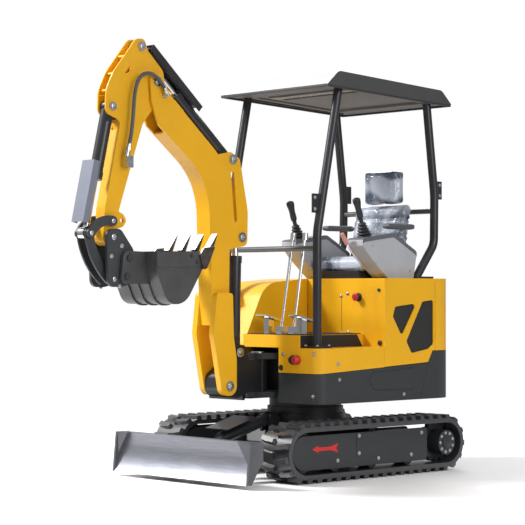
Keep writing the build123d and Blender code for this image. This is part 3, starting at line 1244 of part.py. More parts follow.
def make_arm_pins():
    """The pins that ride on the arm and the valve block on its side that takes the hose."""
    half = ARM_HALF_WIDTH
    pins = [headed_pin(BUCKET_CYLINDER_BASE, LINK_PIN_RADIUS, half)]
    for cap in both_sides(bar_y(ARM_CYLINDER_EYE, PIN_RADIUS + 6, half, half + PIN_HEAD)):
        pins.append(cap)
    end_x, end_z = HOSE_ROUTE[-1]
    valve = block((end_x - 28, half, end_z - VALVE_HEIGHT), (end_x + 18, HOSE_Y + 12, end_z - HOSE_NUT_LENGTH))
    before = Vector(HOSE_ROUTE[-2][0], HOSE_Y, HOSE_ROUTE[-2][1])
    end = Vector(end_x, HOSE_Y, end_z)
    run = (end - before).normalized()
    nut = bar(tuple(end), tuple(end + run * (HOSE_NUT_LENGTH + 6)), HOSE_NUT_RADIUS)
    pins.append(valve + nut)
    return pins


# Arm hose, from the boom's side over the arm pivot to the valve block

HOSE_Y = 76.0
HOSE_RADIUS = 10.0
HOSE_NUT_RADIUS = 13.0
HOSE_NUT_LENGTH = 30.0
HOSE_BEND_SHARE = 0.45
VALVE_HEIGHT = 92.0
HOSE_ROUTE = [(1125.0, 2113.0), (1160.0, 2181.0), (1245.0, 2231.0), (1321.0, 2200.0), (1352.0, 2112.0),
              (1359.0, 2016.0), (1369.0, 1919.0), (1382.0, 1854.0), (1396.0, 1800.0)]


def make_arm_hose():
    """A hose of straight runs and arcs, with an elbow that turns in towards the boom at its first end."""
    points = [Vector(x, HOSE_Y, z) for x, z in HOSE_ROUTE]
    radii = []
    for before, corner, after in zip(points, points[1:], points[2:]):
        turn = math.radians((corner - before).get_angle(after - corner))
        shorter = min((corner - before).length, (after - corner).length)
        radii.append(HOSE_BEND_SHARE * shorter / math.tan(turn / 2))
    tube = tube_along([tuple(point) for point in points], radii, HOSE_RADIUS)
    start_x, start_z = HOSE_ROUTE[0]
    elbow = bar_y((start_x, start_z), HOSE_NUT_RADIUS, BOOM_HALF_WIDTH + SIDE_GAP, HOSE_Y + HOSE_NUT_RADIUS)
    end = points[-1]
    run = (end - points[-2]).normalized()
    stop = bar(tuple(end - run * RUNNING_GAP), tuple(end + run * HOSE_RADIUS), HOSE_RADIUS + 1)
    return tube + elbow - stop


# Bucket linkage

ROCKER_INNER = ARM_HALF_WIDTH + SIDE_GAP
LINK_INNER = EYE_HALF_WIDTH + 3
LINK_OUTER = LINK_INNER + LINK_PLATE
LINK_BOW = 26.0


def link_plate(first, second, bow, eye, low_y, high_y):
    """A bowed link with round ends about two pins."""
    run = Vector(second[0] - first[0], second[1] - first[1])
    out = Vector(-run.Y, run.X).normalized() * bow
    middle = ((first[0] + second[0]) / 2 + out.X, (first[1] + second[1]) / 2 + out.Y)
    return across(SlotArc(ThreePointArc(first, middle, second), 2 * eye), low_y, high_y)


def make_rocker():
    """Two rocker links, the pin that carries them on the arm, and their link-pin stubs."""
    outer = ROCKER_INNER + ROCKER_PLATE
    plate = link_plate(ROCKER_PIVOT, LINK_PIN, LINK_BOW, 26, ROCKER_INNER, outer)
    stub = bar_y(LINK_PIN, LINK_PIN_RADIUS, LINK_INNER, ROCKER_INNER + 1)
    rocker = bar_y(ROCKER_PIVOT, LINK_PIN_RADIUS, -ROCKER_INNER - 1, ROCKER_INNER + 1)
    for piece in both_sides(plate + stub):
        rocker = rocker + piece
    return rocker


def make_bucket_link():
    """The link from the rocker to the coupler: two plates and a cross tube."""
    plate = link_plate(LINK_PIN, COUPLER_PIN, LINK_BOW, 28, LINK_INNER, LINK_OUTER)
    plate = plate - bar_y(LINK_PIN, LINK_PIN_RADIUS + PIN_GAP, LINK_INNER - 1, LINK_OUTER + 1)
    share = 0.62
    middle = [first + (second - first) * share for first, second in zip(LINK_PIN, COUPLER_PIN)]
    link = bar_y(middle, 20, -LINK_INNER - 1, LINK_INNER + 1)
    for piece in both_sides(plate):
        link = link + piece
    return link


COUPLER_INNER = ROCKER_INNER + ROCKER_PLATE + SIDE_GAP
COUPLER_PLATE = 18.0
BUCKET_PIN_FRONT = (1405.0, 1225.0)
BUCKET_PIN_REAR = (1422.0, 1128.0)
BUCKET_PIN_RADIUS = 19.0


def make_coupler():
    """The quick coupler: two ears, the arm-tip pin and the two bars that hold the bucket."""
    outer = COUPLER_INNER + COUPLER_PLATE
    tip_x, tip_z = ARM_TIP
    pin_x, pin_z = COUPLER_PIN
    points = [(tip_x - 46, tip_z + 44), (tip_x + 46, tip_z + 44), (tip_x + 44, tip_z - 110),
              (pin_x + 42, pin_z - 42), (pin_x - 44, pin_z - 42),
              (BUCKET_PIN_REAR[0] - 44, BUCKET_PIN_REAR[1] - 40),
              (BUCKET_PIN_FRONT[0] - 46, BUCKET_PIN_FRONT[1] + 44)]
    plate = slab(points, [43, 43, 60, 40, 30, 36, 40], COUPLER_INNER, outer)
    coupler = bar_y(ARM_TIP, PIN_RADIUS, -COUPLER_INNER - 1, COUPLER_INNER + 1)
    boss = bar_y(ARM_TIP, PIN_RADIUS + 10, ARM_HALF_WIDTH + 1, COUPLER_INNER + 1)
    stub = bar_y(COUPLER_PIN, LINK_PIN_RADIUS + 6, LINK_OUTER + SIDE_GAP, COUPLER_INNER + 1)
    for piece in both_sides(plate + boss + stub):
        coupler = coupler + piece
    reach = BUCKET_EAR_INNER + BUCKET_EAR + PIN_HEAD
    for centre in (BUCKET_PIN_FRONT, BUCKET_PIN_REAR):
        coupler = coupler + bar_y(centre, BUCKET_PIN_RADIUS, -reach, reach)
    return coupler


BUCKET_BACK_TOP = (1300.0, 1262.0)
BUCKET_BACK_LOW = (1292.0, 1150.0)
BUCKET_HEEL = (1215.0, 985.0)
BUCKET_FLOOR = (1095.0, 975.0)
BUCKET_EAR_INNER = COUPLER_INNER + COUPLER_PLATE + 4.0
BUCKET_EAR = 18.0
MOUTH_RUN = 60.0


def bucket_outline():
    points = [BUCKET_BACK_TOP, BUCKET_BACK_LOW, BUCKET_HEEL, BUCKET_FLOOR, BUCKET_LIP]
    return points, [0, 150, 110, 160, 0]


def bucket_space(wall):
    """The room inside the wrapper, run out through the mouth."""
    points, radii = bucket_outline()
    top, below = Vector(*points[0]), Vector(*points[1])
    before, lip = Vector(*points[-2]), Vector(*points[-1])
    down = (below - top).normalized()
    out = (lip - before).normalized()
    far_top = top - down * MOUTH_RUN
    far_lip = lip + out * MOUTH_RUN
    longer = [(far_top.X, far_top.Y)] + points[1:-1] + [(far_lip.X, far_lip.Y)]
    return drawn_in(longer, radii, wall)


def make_bucket():
    """The bucket: a bent wrapper between two side plates, open at its mouth, with ears for the coupler."""
    points, radii = bucket_outline()
    half = BUCKET_HALF_WIDTH
    inner_half = half - BUCKET_WALL
    shell = slab(points, radii, -half, half) - across(bucket_space(BUCKET_WALL), -inner_half, inner_half)
    top_x, top_z = BUCKET_BACK_TOP
    low_x, low_z = BUCKET_BACK_LOW
    front_x, front_z = BUCKET_PIN_FRONT
    rear_x, rear_z = BUCKET_PIN_REAR
    ear_points = [(top_x - 40, top_z - 2), (front_x + 40, front_z + 40), (rear_x + 42, rear_z - 40),
                  (low_x - 20, low_z - 60)]
    ear = slab(ear_points, [2, 38, 38, 2], BUCKET_EAR_INNER, BUCKET_EAR_INNER + BUCKET_EAR)
    ear = ear - across(bucket_space(BUCKET_WALL / 2), 0, half)
    for centre in (BUCKET_PIN_FRONT, BUCKET_PIN_REAR):
        ear = ear - bar_y(centre, BUCKET_PIN_RADIUS + RUNNING_GAP, 0, half)
    for piece in both_sides(ear):
        shell = shell + piece
    for middle_y in (-BUCKET_RIB_Y, 0.0, BUCKET_RIB_Y):
        shell = shell + make_bucket_rib(middle_y)
    for piece in both_sides(make_mouth_band()):
        shell = shell + piece
    return shell


def make_bucket_rib(middle_y):
    """A wear rib round the heel, outside the wrapper."""
    points, radii = bucket_outline()
    low_y = middle_y - BUCKET_RIB_WIDTH / 2
    rib = across(drawn_in(points, radii, -BUCKET_RIB), low_y, low_y + BUCKET_RIB_WIDTH)
    rib = rib - across(bucket_space(BUCKET_WALL / 2), low_y - 1, low_y + BUCKET_RIB_WIDTH + 1)
    top_z = BUCKET_BACK_LOW[1] + 10
    front_x = (BUCKET_FLOOR[0] + BUCKET_LIP[0]) / 2
    return rib & block((front_x, -BUCKET_HALF_WIDTH, 0), (FAR, BUCKET_HALF_WIDTH, top_z))


def make_mouth_band():
    """The doubled edge of a side plate along the mouth."""
    lip_x, lip_z = BUCKET_LIP
    top_x, top_z = BUCKET_BACK_TOP
    side = [(lip_x + 4, lip_z - 1), (top_x - 4, top_z - 1), (top_x - 8, top_z - 84), (lip_x + 62, lip_z - 84)]
    return slab(side, 0, BUCKET_HALF_WIDTH - 1, BUCKET_HALF_WIDTH + BUCKET_BAND)


def make_side_cutter():
    """The bolted cutter plate at a front corner of the bucket."""
    lip_x, lip_z = BUCKET_LIP
    side = [(lip_x - 14, lip_z + 26), (lip_x + 66, lip_z + 18), (lip_x + 96, lip_z - 20), (lip_x + 70, lip_z - 104),
            (lip_x + 44, lip_z - 92)]
    low_y = BUCKET_HALF_WIDTH + BUCKET_BAND
    return slab(side, [6, 12, 16, 10, 10], low_y, low_y + SIDE_CUTTER)


def make_teeth():
    """Four wedge teeth on the cutting edge."""
    lip_x, lip_z = BUCKET_LIP
    tip_x, tip_z = BUCKET_TOOTH_TIP
    run = Vector(tip_x - lip_x, tip_z - lip_z).normalized()
    across = Vector(-run.Y, run.X)
    root = Vector(lip_x, lip_z) + run * RUNNING_GAP
    corners = [root + across * 8, root - across * 22, Vector(tip_x, tip_z) - across * 5, Vector(tip_x, tip_z)]
    points = [(corner.X, corner.Y) for corner in corners]
    teeth = []
    pitch = (2 * BUCKET_HALF_WIDTH - TOOTH_WIDTH) / (TOOTH_COUNT - 1)
    for index in range(TOOTH_COUNT):
        low_y = -BUCKET_HALF_WIDTH + index * pitch
        teeth.append(slab(points, 0, low_y, low_y + TOOTH_WIDTH))
    return teeth + both_sides(make_side_cutter())


# Cylinders

def make_cylinder(base, eye, barrel_length, travel, base_pin_radius):
    """A barrel pinned at its base and a rod whose eye is open, both about one line in the XZ plane."""
    run = Vector(eye[0] - base[0], 0, eye[1] - base[1])
    unit = run.normalized()
    start = Vector(base[0], 0, base[1])
    gland = start + unit * barrel_length
    barrel = bar(tuple(start + unit * EYE_RADIUS * 0.6), tuple(gland), CYLINDER_RADIUS)
    collar = bar(tuple(gland - unit * 40), tuple(gland), CYLINDER_RADIUS + 4)
    barrel = barrel + collar + bar_y(base, EYE_RADIUS, -EYE_HALF_WIDTH, EYE_HALF_WIDTH)
    keep = block((-FAR, -EYE_HALF_WIDTH, -FAR), (FAR, EYE_HALF_WIDTH, 2 * FAR))
    near_base = bar(tuple(start - unit * 60), tuple(start + unit * CYLINDER_NECK), CYLINDER_RADIUS + 10)
    barrel = barrel - (near_base - keep)
    rod_start = start + unit * (EYE_RADIUS + 20 + travel)
    bore_start = start + unit * (EYE_RADIUS + 10)
    barrel = barrel - bar(tuple(bore_start), tuple(gland + unit), CYLINDER_ROD_RADIUS + RUNNING_GAP)
    barrel = barrel - bar_y(base, base_pin_radius + PIN_GAP, -FAR, FAR)
    rod = bar(tuple(rod_start), tuple(start + run - unit * 10), CYLINDER_ROD_RADIUS)
    rod = rod + bar_y(eye, EYE_RADIUS, -EYE_HALF_WIDTH, EYE_HALF_WIDTH)
    rod = rod - bar_y(eye, LINK_PIN_RADIUS + PIN_GAP, -FAR, FAR)
    return barrel, rod


def square_to(base, eye, upwards):
    """The directions along a cylinder, from its eye to its base, and square to it, in the XZ plane."""
    along = Vector(base[0] - eye[0], 0, base[1] - eye[1]).normalized()
    out = Vector(along.Z, 0, -along.X)
    return along, out if (out.Z > 0) == upwards else out * -1


def make_rod_guard(base, eye, length):
    """A channel over a rod, fixed beside the rod's eye, that slides over the barrel."""
    along, out = square_to(base, eye, True)
    corner = Vector(eye[0], 0, eye[1]) + along * ROD_GUARD_START
    plane = Plane(origin=tuple(corner), x_dir=out, z_dir=along)
    width = ROD_GUARD_HALF_WIDTH
    sheet = ROD_GUARD_PLATE
    high = ROD_GUARD_OFFSET
    low = high - ROD_GUARD_FLANGE
    middle = (high + low) / 2
    channel = Pos(middle, 0) * Rectangle(high - low, 2 * width)
    channel = channel - Pos(middle - sheet, 0) * Rectangle(high - low, 2 * (width - sheet))
    guard = extrude(plane * channel, amount=length)
    stay_low = CYLINDER_ROD_RADIUS + RUNNING_GAP
    stay = Pos((stay_low + high) / 2 - 1, 0) * Rectangle(high - stay_low - 2, 2 * CYLINDER_ROD_RADIUS - 12)
    stay_start = Plane(origin=tuple(corner + along * ROD_GUARD_START / 4), x_dir=out, z_dir=along)
    return guard + extrude(stay_start * stay, amount=ROD_GUARD_STAY)


ROD_GUARD_STAY = 15.0


def make_blade_guard():
    """The stone guard on the blade cylinder's barrel, standing on a web."""
    along, out = square_to(BLADE_CYLINDER_EYE, BLADE_CYLINDER_BASE, True)
    gland = Vector(BLADE_CYLINDER_BASE[0], 0, BLADE_CYLINDER_BASE[1]) + along * BLADE_BARREL
    plane = Plane(origin=tuple(gland - along * BLADE_GUARD_LENGTH), x_dir=out, z_dir=along)
    plate = Pos(BLADE_GUARD_OFFSET + 3, 0) * Rectangle(6, 2 * BLADE_GUARD_HALF_WIDTH)
    guard = extrude(plane * plate, amount=BLADE_GUARD_LENGTH)
    low = CYLINDER_RADIUS - 6
    web = Pos((low + BLADE_GUARD_OFFSET + 2) / 2, 0) * Rectangle(BLADE_GUARD_OFFSET + 2 - low, 14)
    return guard + extrude(plane * web, amount=BLADE_GUARD_LENGTH - 50)


def build():
    """Every node by name, each a list of solids, with the slew axis at x = 0."""
    nodes = {
        "car_body": [make_car_body()],
        "slew_ring_lower": [make_slew_ring_lower()],
        "blade_mouldboard": [make_mouldboard()],
        "blade_cheeks": make_cheeks(),
        "blade_arms": [make_blade_arms()],
        "deck_frame": [make_deck_frame()],
        "counterweight": [make_counterweight()],
        "skirts": [make_skirt(True), make_skirt(False)],
        "step_box": [make_step_box()],
        "floor": [make_floor()],
        "right_body": [make_right_body()],
        "hood_sides": [make_hood_side(True), make_hood_side(False)],
        "hood_rear": [make_hood_rear()],
        "hood_top": [make_hood_top()],
        "seat_panel": [make_seat_panel()],
        "grilles": make_grilles(True) + make_grilles(False),
        "engine": [make_engine()],
        "canopy_roof": [make_roof()],
        "roof_frame": [make_roof_frame()],
        "front_posts": [make_front_post(True), make_front_post(False)],
        "rear_posts": [make_rear_post(True), make_rear_post(False)],
        "post_rails": [cross_bar(post_x(True, FRONT_RAIL_Z), FRONT_RAIL_Z),
                       cross_bar(post_x(False, REAR_BAR_Z), REAR_BAR_Z)],
        "seat_base": [make_seat_base()],
        "seat_cushion": [make_cushion()],
        "seat_back": [make_seat_back()],
        "headrest": [make_headrest()],
        "consoles": [make_console(True), make_console(False)],
        "joysticks": [make_joystick(True), make_joystick(False)],
        "armrests": [make_armrest(True), make_armrest(False)],
        "safety_lever": [make_safety_lever()],
        "travel_levers": make_travel_levers(),
        "pedals": make_pedals(),
        "swing_bracket": [make_swing_bracket()],
        "kingpost": [make_kingpost()],
        "boom": [make_boom()],
        "boom_pins": make_boom_pins(),
        "arm": [make_arm()],
        "arm_pins": make_arm_pins(),
        "rocker": [make_rocker()],
        "bucket_link": [make_bucket_link()],
        "coupler": [make_coupler()],
        "bucket": [make_bucket()],
        "bucket_teeth": make_teeth(),
    }
    pairs = {
        "track_frames": [make_track_frame()],
        "idlers": [make_idler()],
        "sprockets": [make_sprocket()],
        "rollers": make_rollers(),
    }
    for name, solids in pairs.items():
        nodes[name] = solids + [mirror(solid, about=Plane.XZ) for solid in solids]
    nodes["track_left"] = [make_track()]
    nodes["track_right"] = [mirror(make_track(), about=Plane.XZ)]
    cylinders = {
        "boom": (BOOM_CYLINDER_BASE, BOOM_CYLINDER_EYE, BOOM_BARREL, 40.0, PIN_RADIUS),
        "arm": (ARM_CYLINDER_BASE, ARM_CYLINDER_EYE, ARM_BARREL, 300.0, PIN_RADIUS),
        "bucket": (BUCKET_CYLINDER_BASE, LINK_PIN, BUCKET_BARREL, 280.0, LINK_PIN_RADIUS),
        "blade": (BLADE_CYLINDER_BASE, BLADE_CYLINDER_EYE, BLADE_BARREL, 80.0, BLADE_PIN_RADIUS),
    }
    for name, sizes in cylinders.items():
        barrel, rod = make_cylinder(*sizes)
        nodes[name + "_barrel"] = [barrel]
        nodes[name + "_rod"] = [rod]
    nodes["blade_barrel"] = [nodes["blade_barrel"][0] + make_blade_guard()]
    nodes["arm_rod_guard"] = [make_rod_guard(ARM_CYLINDER_BASE, ARM_CYLINDER_EYE, ARM_GUARD_LENGTH)]
    nodes["bucket_rod_guard"] = [make_rod_guard(BUCKET_CYLINDER_BASE, LINK_PIN, BUCKET_GUARD_LENGTH)]
    nodes["arm_hose"] = [make_arm_hose()]
    return nodes


def solids_of(shapes):
    """The solids in a list of shapes."""
    found = []
    for shape in shapes:
        found.extend(shape.solids())
    return found


def centring_shift(nodes):
    """How far the model moves along X so that its box is centred on the origin."""
    boxes = [solid.bounding_box() for solids in nodes.values() for solid in solids]
    low = min(box.min.X for box in boxes)
    high = max(box.max.X for box in boxes)
    return -(low + high) / 2


def main():
    nodes = {name: solids_of(shapes) for name, shapes in build().items()}
    shift = centring_shift(nodes)
    os.makedirs("parts", exist_ok=True)
    for name, solids in nodes.items():
        moved = [Pos(shift, 0, 0) * solid for solid in solids]
        whole = moved[0] if len(moved) == 1 else Compound(children=moved)
        whole.label = name
        export_step(whole, f"parts/{name}.step")
    print(f"shift along X {shift:.3f}, nodes {len(nodes)}")


if __name__ == "__main__":
    main()
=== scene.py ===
import json
import math

import bmesh
import bpy
from mathutils import Matrix, Vector


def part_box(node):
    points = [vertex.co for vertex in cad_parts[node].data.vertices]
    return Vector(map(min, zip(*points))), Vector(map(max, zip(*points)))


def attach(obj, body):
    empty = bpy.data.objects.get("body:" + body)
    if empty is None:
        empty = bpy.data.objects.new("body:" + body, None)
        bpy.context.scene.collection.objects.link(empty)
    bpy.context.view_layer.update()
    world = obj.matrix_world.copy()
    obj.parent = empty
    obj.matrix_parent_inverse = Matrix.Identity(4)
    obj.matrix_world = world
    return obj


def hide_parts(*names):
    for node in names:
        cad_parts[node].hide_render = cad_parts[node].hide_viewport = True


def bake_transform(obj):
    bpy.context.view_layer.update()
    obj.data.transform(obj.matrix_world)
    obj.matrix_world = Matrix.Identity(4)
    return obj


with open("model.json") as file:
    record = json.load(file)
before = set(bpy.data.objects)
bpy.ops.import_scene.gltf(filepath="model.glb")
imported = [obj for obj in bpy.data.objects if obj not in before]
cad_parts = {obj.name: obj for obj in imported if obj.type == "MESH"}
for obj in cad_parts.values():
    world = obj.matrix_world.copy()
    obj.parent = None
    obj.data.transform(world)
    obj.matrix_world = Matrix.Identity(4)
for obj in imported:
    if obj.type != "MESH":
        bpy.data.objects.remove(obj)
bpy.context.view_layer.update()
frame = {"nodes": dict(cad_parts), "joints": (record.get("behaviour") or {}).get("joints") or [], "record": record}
nodes = frame["nodes"]
joints = {joint["name"]: joint for joint in frame["joints"]}

# The row's origin is the middle of the footprint; the slew axis stands behind it.
SLEW = Vector(joints["slew"]["pos_m"])
SLEW.z = 0.0
MM = 0.001
FORWARD = Vector((1.0, 0.0, 0.0))
LEFT = Vector((0.0, 1.0, 0.0))
UP = Vector((0.0, 0.0, 1.0))
SQUARE = ((-1, -1), (1, -1), (1, 1), (-1, 1))


def place(x, y, z):
    """A point of the frame, in millimetres ahead of, left of and above the foot of the slew axis."""
    return SLEW + Vector((x, y, z)) * MM


def ahead_of(node, y, z):
    """A point on the plane of a node's front, in millimetres."""
    return Vector((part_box(node)[1].x, y * MM, z * MM))


def beside(node, x, z, side=1):
    """A point on the plane of a node's left side, or of the right one for a side of -1, in millimetres."""
    return Vector((SLEW.x + x * MM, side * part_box(node)[1].y, z * MM))


def on_surface(node_name, start, direction):
    """Where a line from a start meets a node, and the way the surface looks there."""
    node = nodes[node_name]
    inward = node.matrix_world.inverted()
    found, point, normal, _ = node.ray_cast(inward @ start, inward.to_3x3() @ direction)
    if not found:
        raise ValueError("no surface of " + node_name + " from " + str(start))
    return node.matrix_world @ point, (node.matrix_world.to_3x3() @ normal).normalized()


def new_object(name, data):
    made = bpy.data.objects.new(name, data)
    bpy.context.scene.collection.objects.link(made)
    return made


# Camera, as the photograph was taken

IMAGE_SIZE = 525.0
FOCAL_PIXELS = 1836.0
SENSOR_MM = 36.0
CAMERA_FROM_SLEW = Vector((7.556, 7.667, 1.048))
CAMERA_YAW = math.radians(-133.25)
CAMERA_PITCH = math.radians(0.908)


def make_camera():
    data = bpy.data.cameras.new("camera")
    data.sensor_width = SENSOR_MM
    data.lens = FOCAL_PIXELS / IMAGE_SIZE * SENSOR_MM
    camera = new_object("camera", data)
    camera.location = SLEW + CAMERA_FROM_SLEW
    flat = math.cos(CAMERA_PITCH)
    looking = Vector((flat * math.cos(CAMERA_YAW), flat * math.sin(CAMERA_YAW), math.sin(CAMERA_PITCH)))
    camera.rotation_euler = looking.to_track_quat("-Z", "Y").to_euler()
    bpy.context.scene.camera = camera


# Shader helpers; a colour is three numbers

def new_material():
    material = bpy.data.materials.new("material")
    material.use_nodes = True
    tree = material.node_tree
    return material, tree, tree.nodes["Principled BSDF"]


def set_inputs(node, values):
    for socket, value in values.items():
        node.inputs[socket].default_value = value


def opaque(colour):
    return (*colour, 1.0)


def shade(colour, factor):
    return tuple(min(1.0, part * factor) for part in colour)


def object_coordinates(tree, scale=(1.0, 1.0, 1.0)):
    coordinates = tree.nodes.new("ShaderNodeTexCoord")
    mapping = tree.nodes.new("ShaderNodeMapping")
    mapping.inputs["Scale"].default_value = scale
    tree.links.new(coordinates.outputs["Object"], mapping.inputs["Vector"])
    return mapping.outputs["Vector"]


def noise(tree, vector, scale, detail=3.0, roughness=0.55, distortion=0.0):
    node = tree.nodes.new("ShaderNodeTexNoise")
    set_inputs(node, {"Scale": scale, "Detail": detail, "Roughness": roughness, "Distortion": distortion})
    tree.links.new(vector, node.inputs["Vector"])
    return node.outputs["Fac"]


def ramp(tree, value, low, high, first, last):
    """Maps a value between low and high to a colour between first and last."""
    node = tree.nodes.new("ShaderNodeValToRGB")
    for element, position, colour in zip(node.color_ramp.elements, (low, high), (first, last)):
        element.position = position
        element.color = opaque(colour)
    tree.links.new(value, node.inputs["Fac"])
    return node.outputs["Color"]


def tones(tree, value, colour, darkest, lightest, low=0.3, high=0.7):
    """Lets a value between low and high drift a colour from its darkest to its lightest share."""
    return ramp(tree, value, low, high, shade(colour, darkest), shade(colour, lightest))


def mask(tree, value, low, high, most=1.0):
    """Black below low and, above high, a grey of the given strength."""
    return ramp(tree, value, low, high, (0.0, 0.0, 0.0), (most, most, most))


def spread(tree, value, low, high, start=0.0, end=1.0):
    """Maps a value between start and end onto low to high."""
    node = tree.nodes.new("ShaderNodeMapRange")
    set_inputs(node, {"From Min": start, "From Max": end, "To Min": low, "To Max": high})
    tree.links.new(value, node.inputs["Value"])
    return node.outputs["Result"]


def mix_colours(tree, amount, first, second):
    node = tree.nodes.new("ShaderNodeMix")
    node.data_type = "RGBA"
    tree.links.new(amount, node.inputs["Factor"])
    for socket, value in ((node.inputs["A"], first), (node.inputs["B"], second)):
        if isinstance(value, tuple):
            socket.default_value = opaque(value)
        else:
            tree.links.new(value, socket)
    return node.outputs["Result"]


def mix_shaders(tree, amount, first, second, output):
    node = tree.nodes.new("ShaderNodeMixShader")
    tree.links.new(amount, node.inputs["Fac"])
    tree.links.new(first.outputs[0], node.inputs[1])
    tree.links.new(second.outputs[0], node.inputs[2])
    tree.links.new(node.outputs[0], tree.nodes[output].inputs["Surface"])


def dress(tree, shader, colour, roughness):
    tree.links.new(colour, shader.inputs["Base Color"])
    tree.links.new(roughness, shader.inputs["Roughness"])


def bump(tree, shader, height, strength, distance):
    node = tree.nodes.new("ShaderNodeBump")
    set_inputs(node, {"Strength": strength, "Distance": distance})
    tree.links.new(height, node.inputs["Height"])
    tree.links.new(node.outputs["Normal"], shader.inputs["Normal"])


def edges(tree, low=0.52, high=0.60):
    """1 on convex edges and 0 elsewhere."""
    geometry = tree.nodes.new("ShaderNodeNewGeometry")
    return spread(tree, geometry.outputs["Pointiness"], 0.0, 1.0, low, high)


def upright_part(tree, vector):
    parts = tree.nodes.new("ShaderNodeSeparateXYZ")
    tree.links.new(vector, parts.inputs["Vector"])
    return parts.outputs["Z"]


def upwardness(tree):
    """How far a face looks up: 1 for a top, 0 for a side, -1 for an underside."""
    return upright_part(tree, tree.nodes.new("ShaderNodeNewGeometry").outputs["Normal"])


def height_in_frame(tree):
    """A point's own height, in metres, read from the piece and not from the world."""
    return upright_part(tree, object_coordinates(tree))


# Stage: floor, world and lamps

FLOOR_COLOUR = (0.93, 0.93, 0.94)
FLOOR_HALF = 12.0
FLOOR_DROP = 0.0005
FLOOR_CLEAR_FROM = 2.2
FLOOR_CLEAR_TO = 5.0
SKY_LOW = (0.24, 0.24, 0.2472)
SKY_HIGH = (0.70, 0.70, 0.70)
SKY_RISE = (0.02, 0.55)
LAMP_TARGET = Vector((0.0, 0.0, 1.0))


def make_floor():
    """A pale floor that fades into the white backdrop a few metres out."""
    mesh = bpy.data.meshes.new("floor")
    corners = [(x * FLOOR_HALF, y * FLOOR_HALF, 0) for x, y in SQUARE]
    mesh.from_pydata(corners, [], [(0, 1, 2, 3)])
    floor = new_object("floor", mesh)
    floor.location.z = -FLOOR_DROP
    material, tree, shader = new_material()
    material.name = "floor"
    set_inputs(shader, {"Base Color": opaque(FLOOR_COLOUR), "Roughness": 0.8, "Specular IOR Level": 0.05})
    distance = tree.nodes.new("ShaderNodeVectorMath")
    distance.operation = "LENGTH"
    tree.links.new(object_coordinates(tree), distance.inputs[0])
    fade = spread(tree, distance.outputs["Value"], 0.0, 1.0, FLOOR_CLEAR_FROM, FLOOR_CLEAR_TO)
    clear = tree.nodes.new("ShaderNodeBsdfTransparent")
    mix_shaders(tree, fade, shader, clear, "Material Output")
    mesh.materials.append(material)


def make_world():
    """White to the camera; a softer sky, dim at the horizon, lights the object and shows in its gloss."""
    world = bpy.data.worlds.new("world")
    bpy.context.scene.world = world
    world.use_nodes = True
    tree = world.node_tree
    sky = tree.nodes["Background"]
    sky.inputs["Strength"].default_value = 1.0
    rise = upright_part(tree, tree.nodes.new("ShaderNodeTexCoord").outputs["Generated"])
    tree.links.new(ramp(tree, rise, *SKY_RISE, SKY_LOW, SKY_HIGH), sky.inputs["Color"])
    white = tree.nodes.new("ShaderNodeBackground")
    set_inputs(white, {"Color": (1.0, 1.0, 1.0, 1.0), "Strength": 1.0})
    seen = tree.nodes.new("ShaderNodeLightPath").outputs["Is Camera Ray"]
    mix_shaders(tree, seen, sky, white, "World Output")


def make_lamp(name, spot, size, power):
    data = bpy.data.lights.new(name, "AREA")
    data.size = size
    data.energy = power
    lamp = new_object(name, data)
    lamp.location = spot
    lamp.rotation_euler = (LAMP_TARGET - Vector(spot)).to_track_quat("-Z", "Y").to_euler()


def make_lights():
    make_lamp("key", (4.6, -4.6, 6.4), size=1.5, power=1020.0)
    make_lamp("fill", (0.5, 7.0, 3.2), size=4.0, power=175.0)
    make_lamp("rim", (-5.0, -3.0, 5.0), size=3.0, power=160.0)


# Materials

def paint(colour, roughness=0.36, coat=0.14, variation=0.05):
    """Sprayed paint: a faint drift of tone, orange peel and a clear coat."""
    material, tree, shader = new_material()
    vector = object_coordinates(tree)
    tone = tones(tree, noise(tree, vector, 2.3, 4.0), colour, 1.0 - variation, 1.0 + variation)
    smudge = noise(tree, vector, 9.0, 6.0)
    dress(tree, shader, tone, spread(tree, smudge, roughness - 0.08, roughness + 0.12))
    set_inputs(shader, {"Specular IOR Level": 0.35, "Coat Weight": coat, "Coat Roughness": 0.12})
    bump(tree, shader, noise(tree, vector, 420.0, 2.0), 0.35, 0.00012)
    return material


def worn_paint(colour, bare, roughness=0.42):
    """Dark paint that has rubbed through to steel in patches of scratches."""
    material, tree, shader = new_material()
    vector = object_coordinates(tree)
    scratched = noise(tree, object_coordinates(tree, (1.0, 6.0, 2.0)), 38.0, 8.0, 0.7)
    drift = tones(tree, noise(tree, vector, 5.0, 5.0), colour, 0.8, 1.3)
    scuffed = mix_colours(tree, mask(tree, scratched, 0.60, 0.72, 0.55), drift, bare)
    dress(tree, shader, scuffed, spread(tree, scratched, roughness + 0.15, roughness - 0.12))
    shader.inputs["Metallic"].default_value = 0.25
    bump(tree, shader, noise(tree, vector, 140.0, 6.0, 0.7), 0.4, 0.0005)
    return material


def metal(colour, roughness, grain=60.0, mottle=0.25, relief=0.15):
    """Bare metal with a fine mottled grain."""
    material, tree, shader = new_material()
    grains = noise(tree, object_coordinates(tree), grain, 5.0, 0.65)
    tone = tones(tree, grains, colour, 1.0 - mottle, 1.0 + mottle * 0.5, 0.25, 0.75)
    dress(tree, shader, tone, spread(tree, grains, max(0.03, roughness - 0.08), roughness + 0.10))
    shader.inputs["Metallic"].default_value = 1.0
    if relief:
        bump(tree, shader, grains, relief, 0.0002)
    return material


BRUSHED_STEEL = ((0.17, 0.175, 0.20), (0.27, 0.275, 0.305))
# The paler, bluish steel is a painted reflection of the sky, laid on the blade's lower, upturned part.
SKY_REFLECTION_STEEL = ((0.42, 0.44, 0.51), (0.58, 0.60, 0.67))
REFLECTION_START = 0.01
REFLECTION_SHARE = 0.58


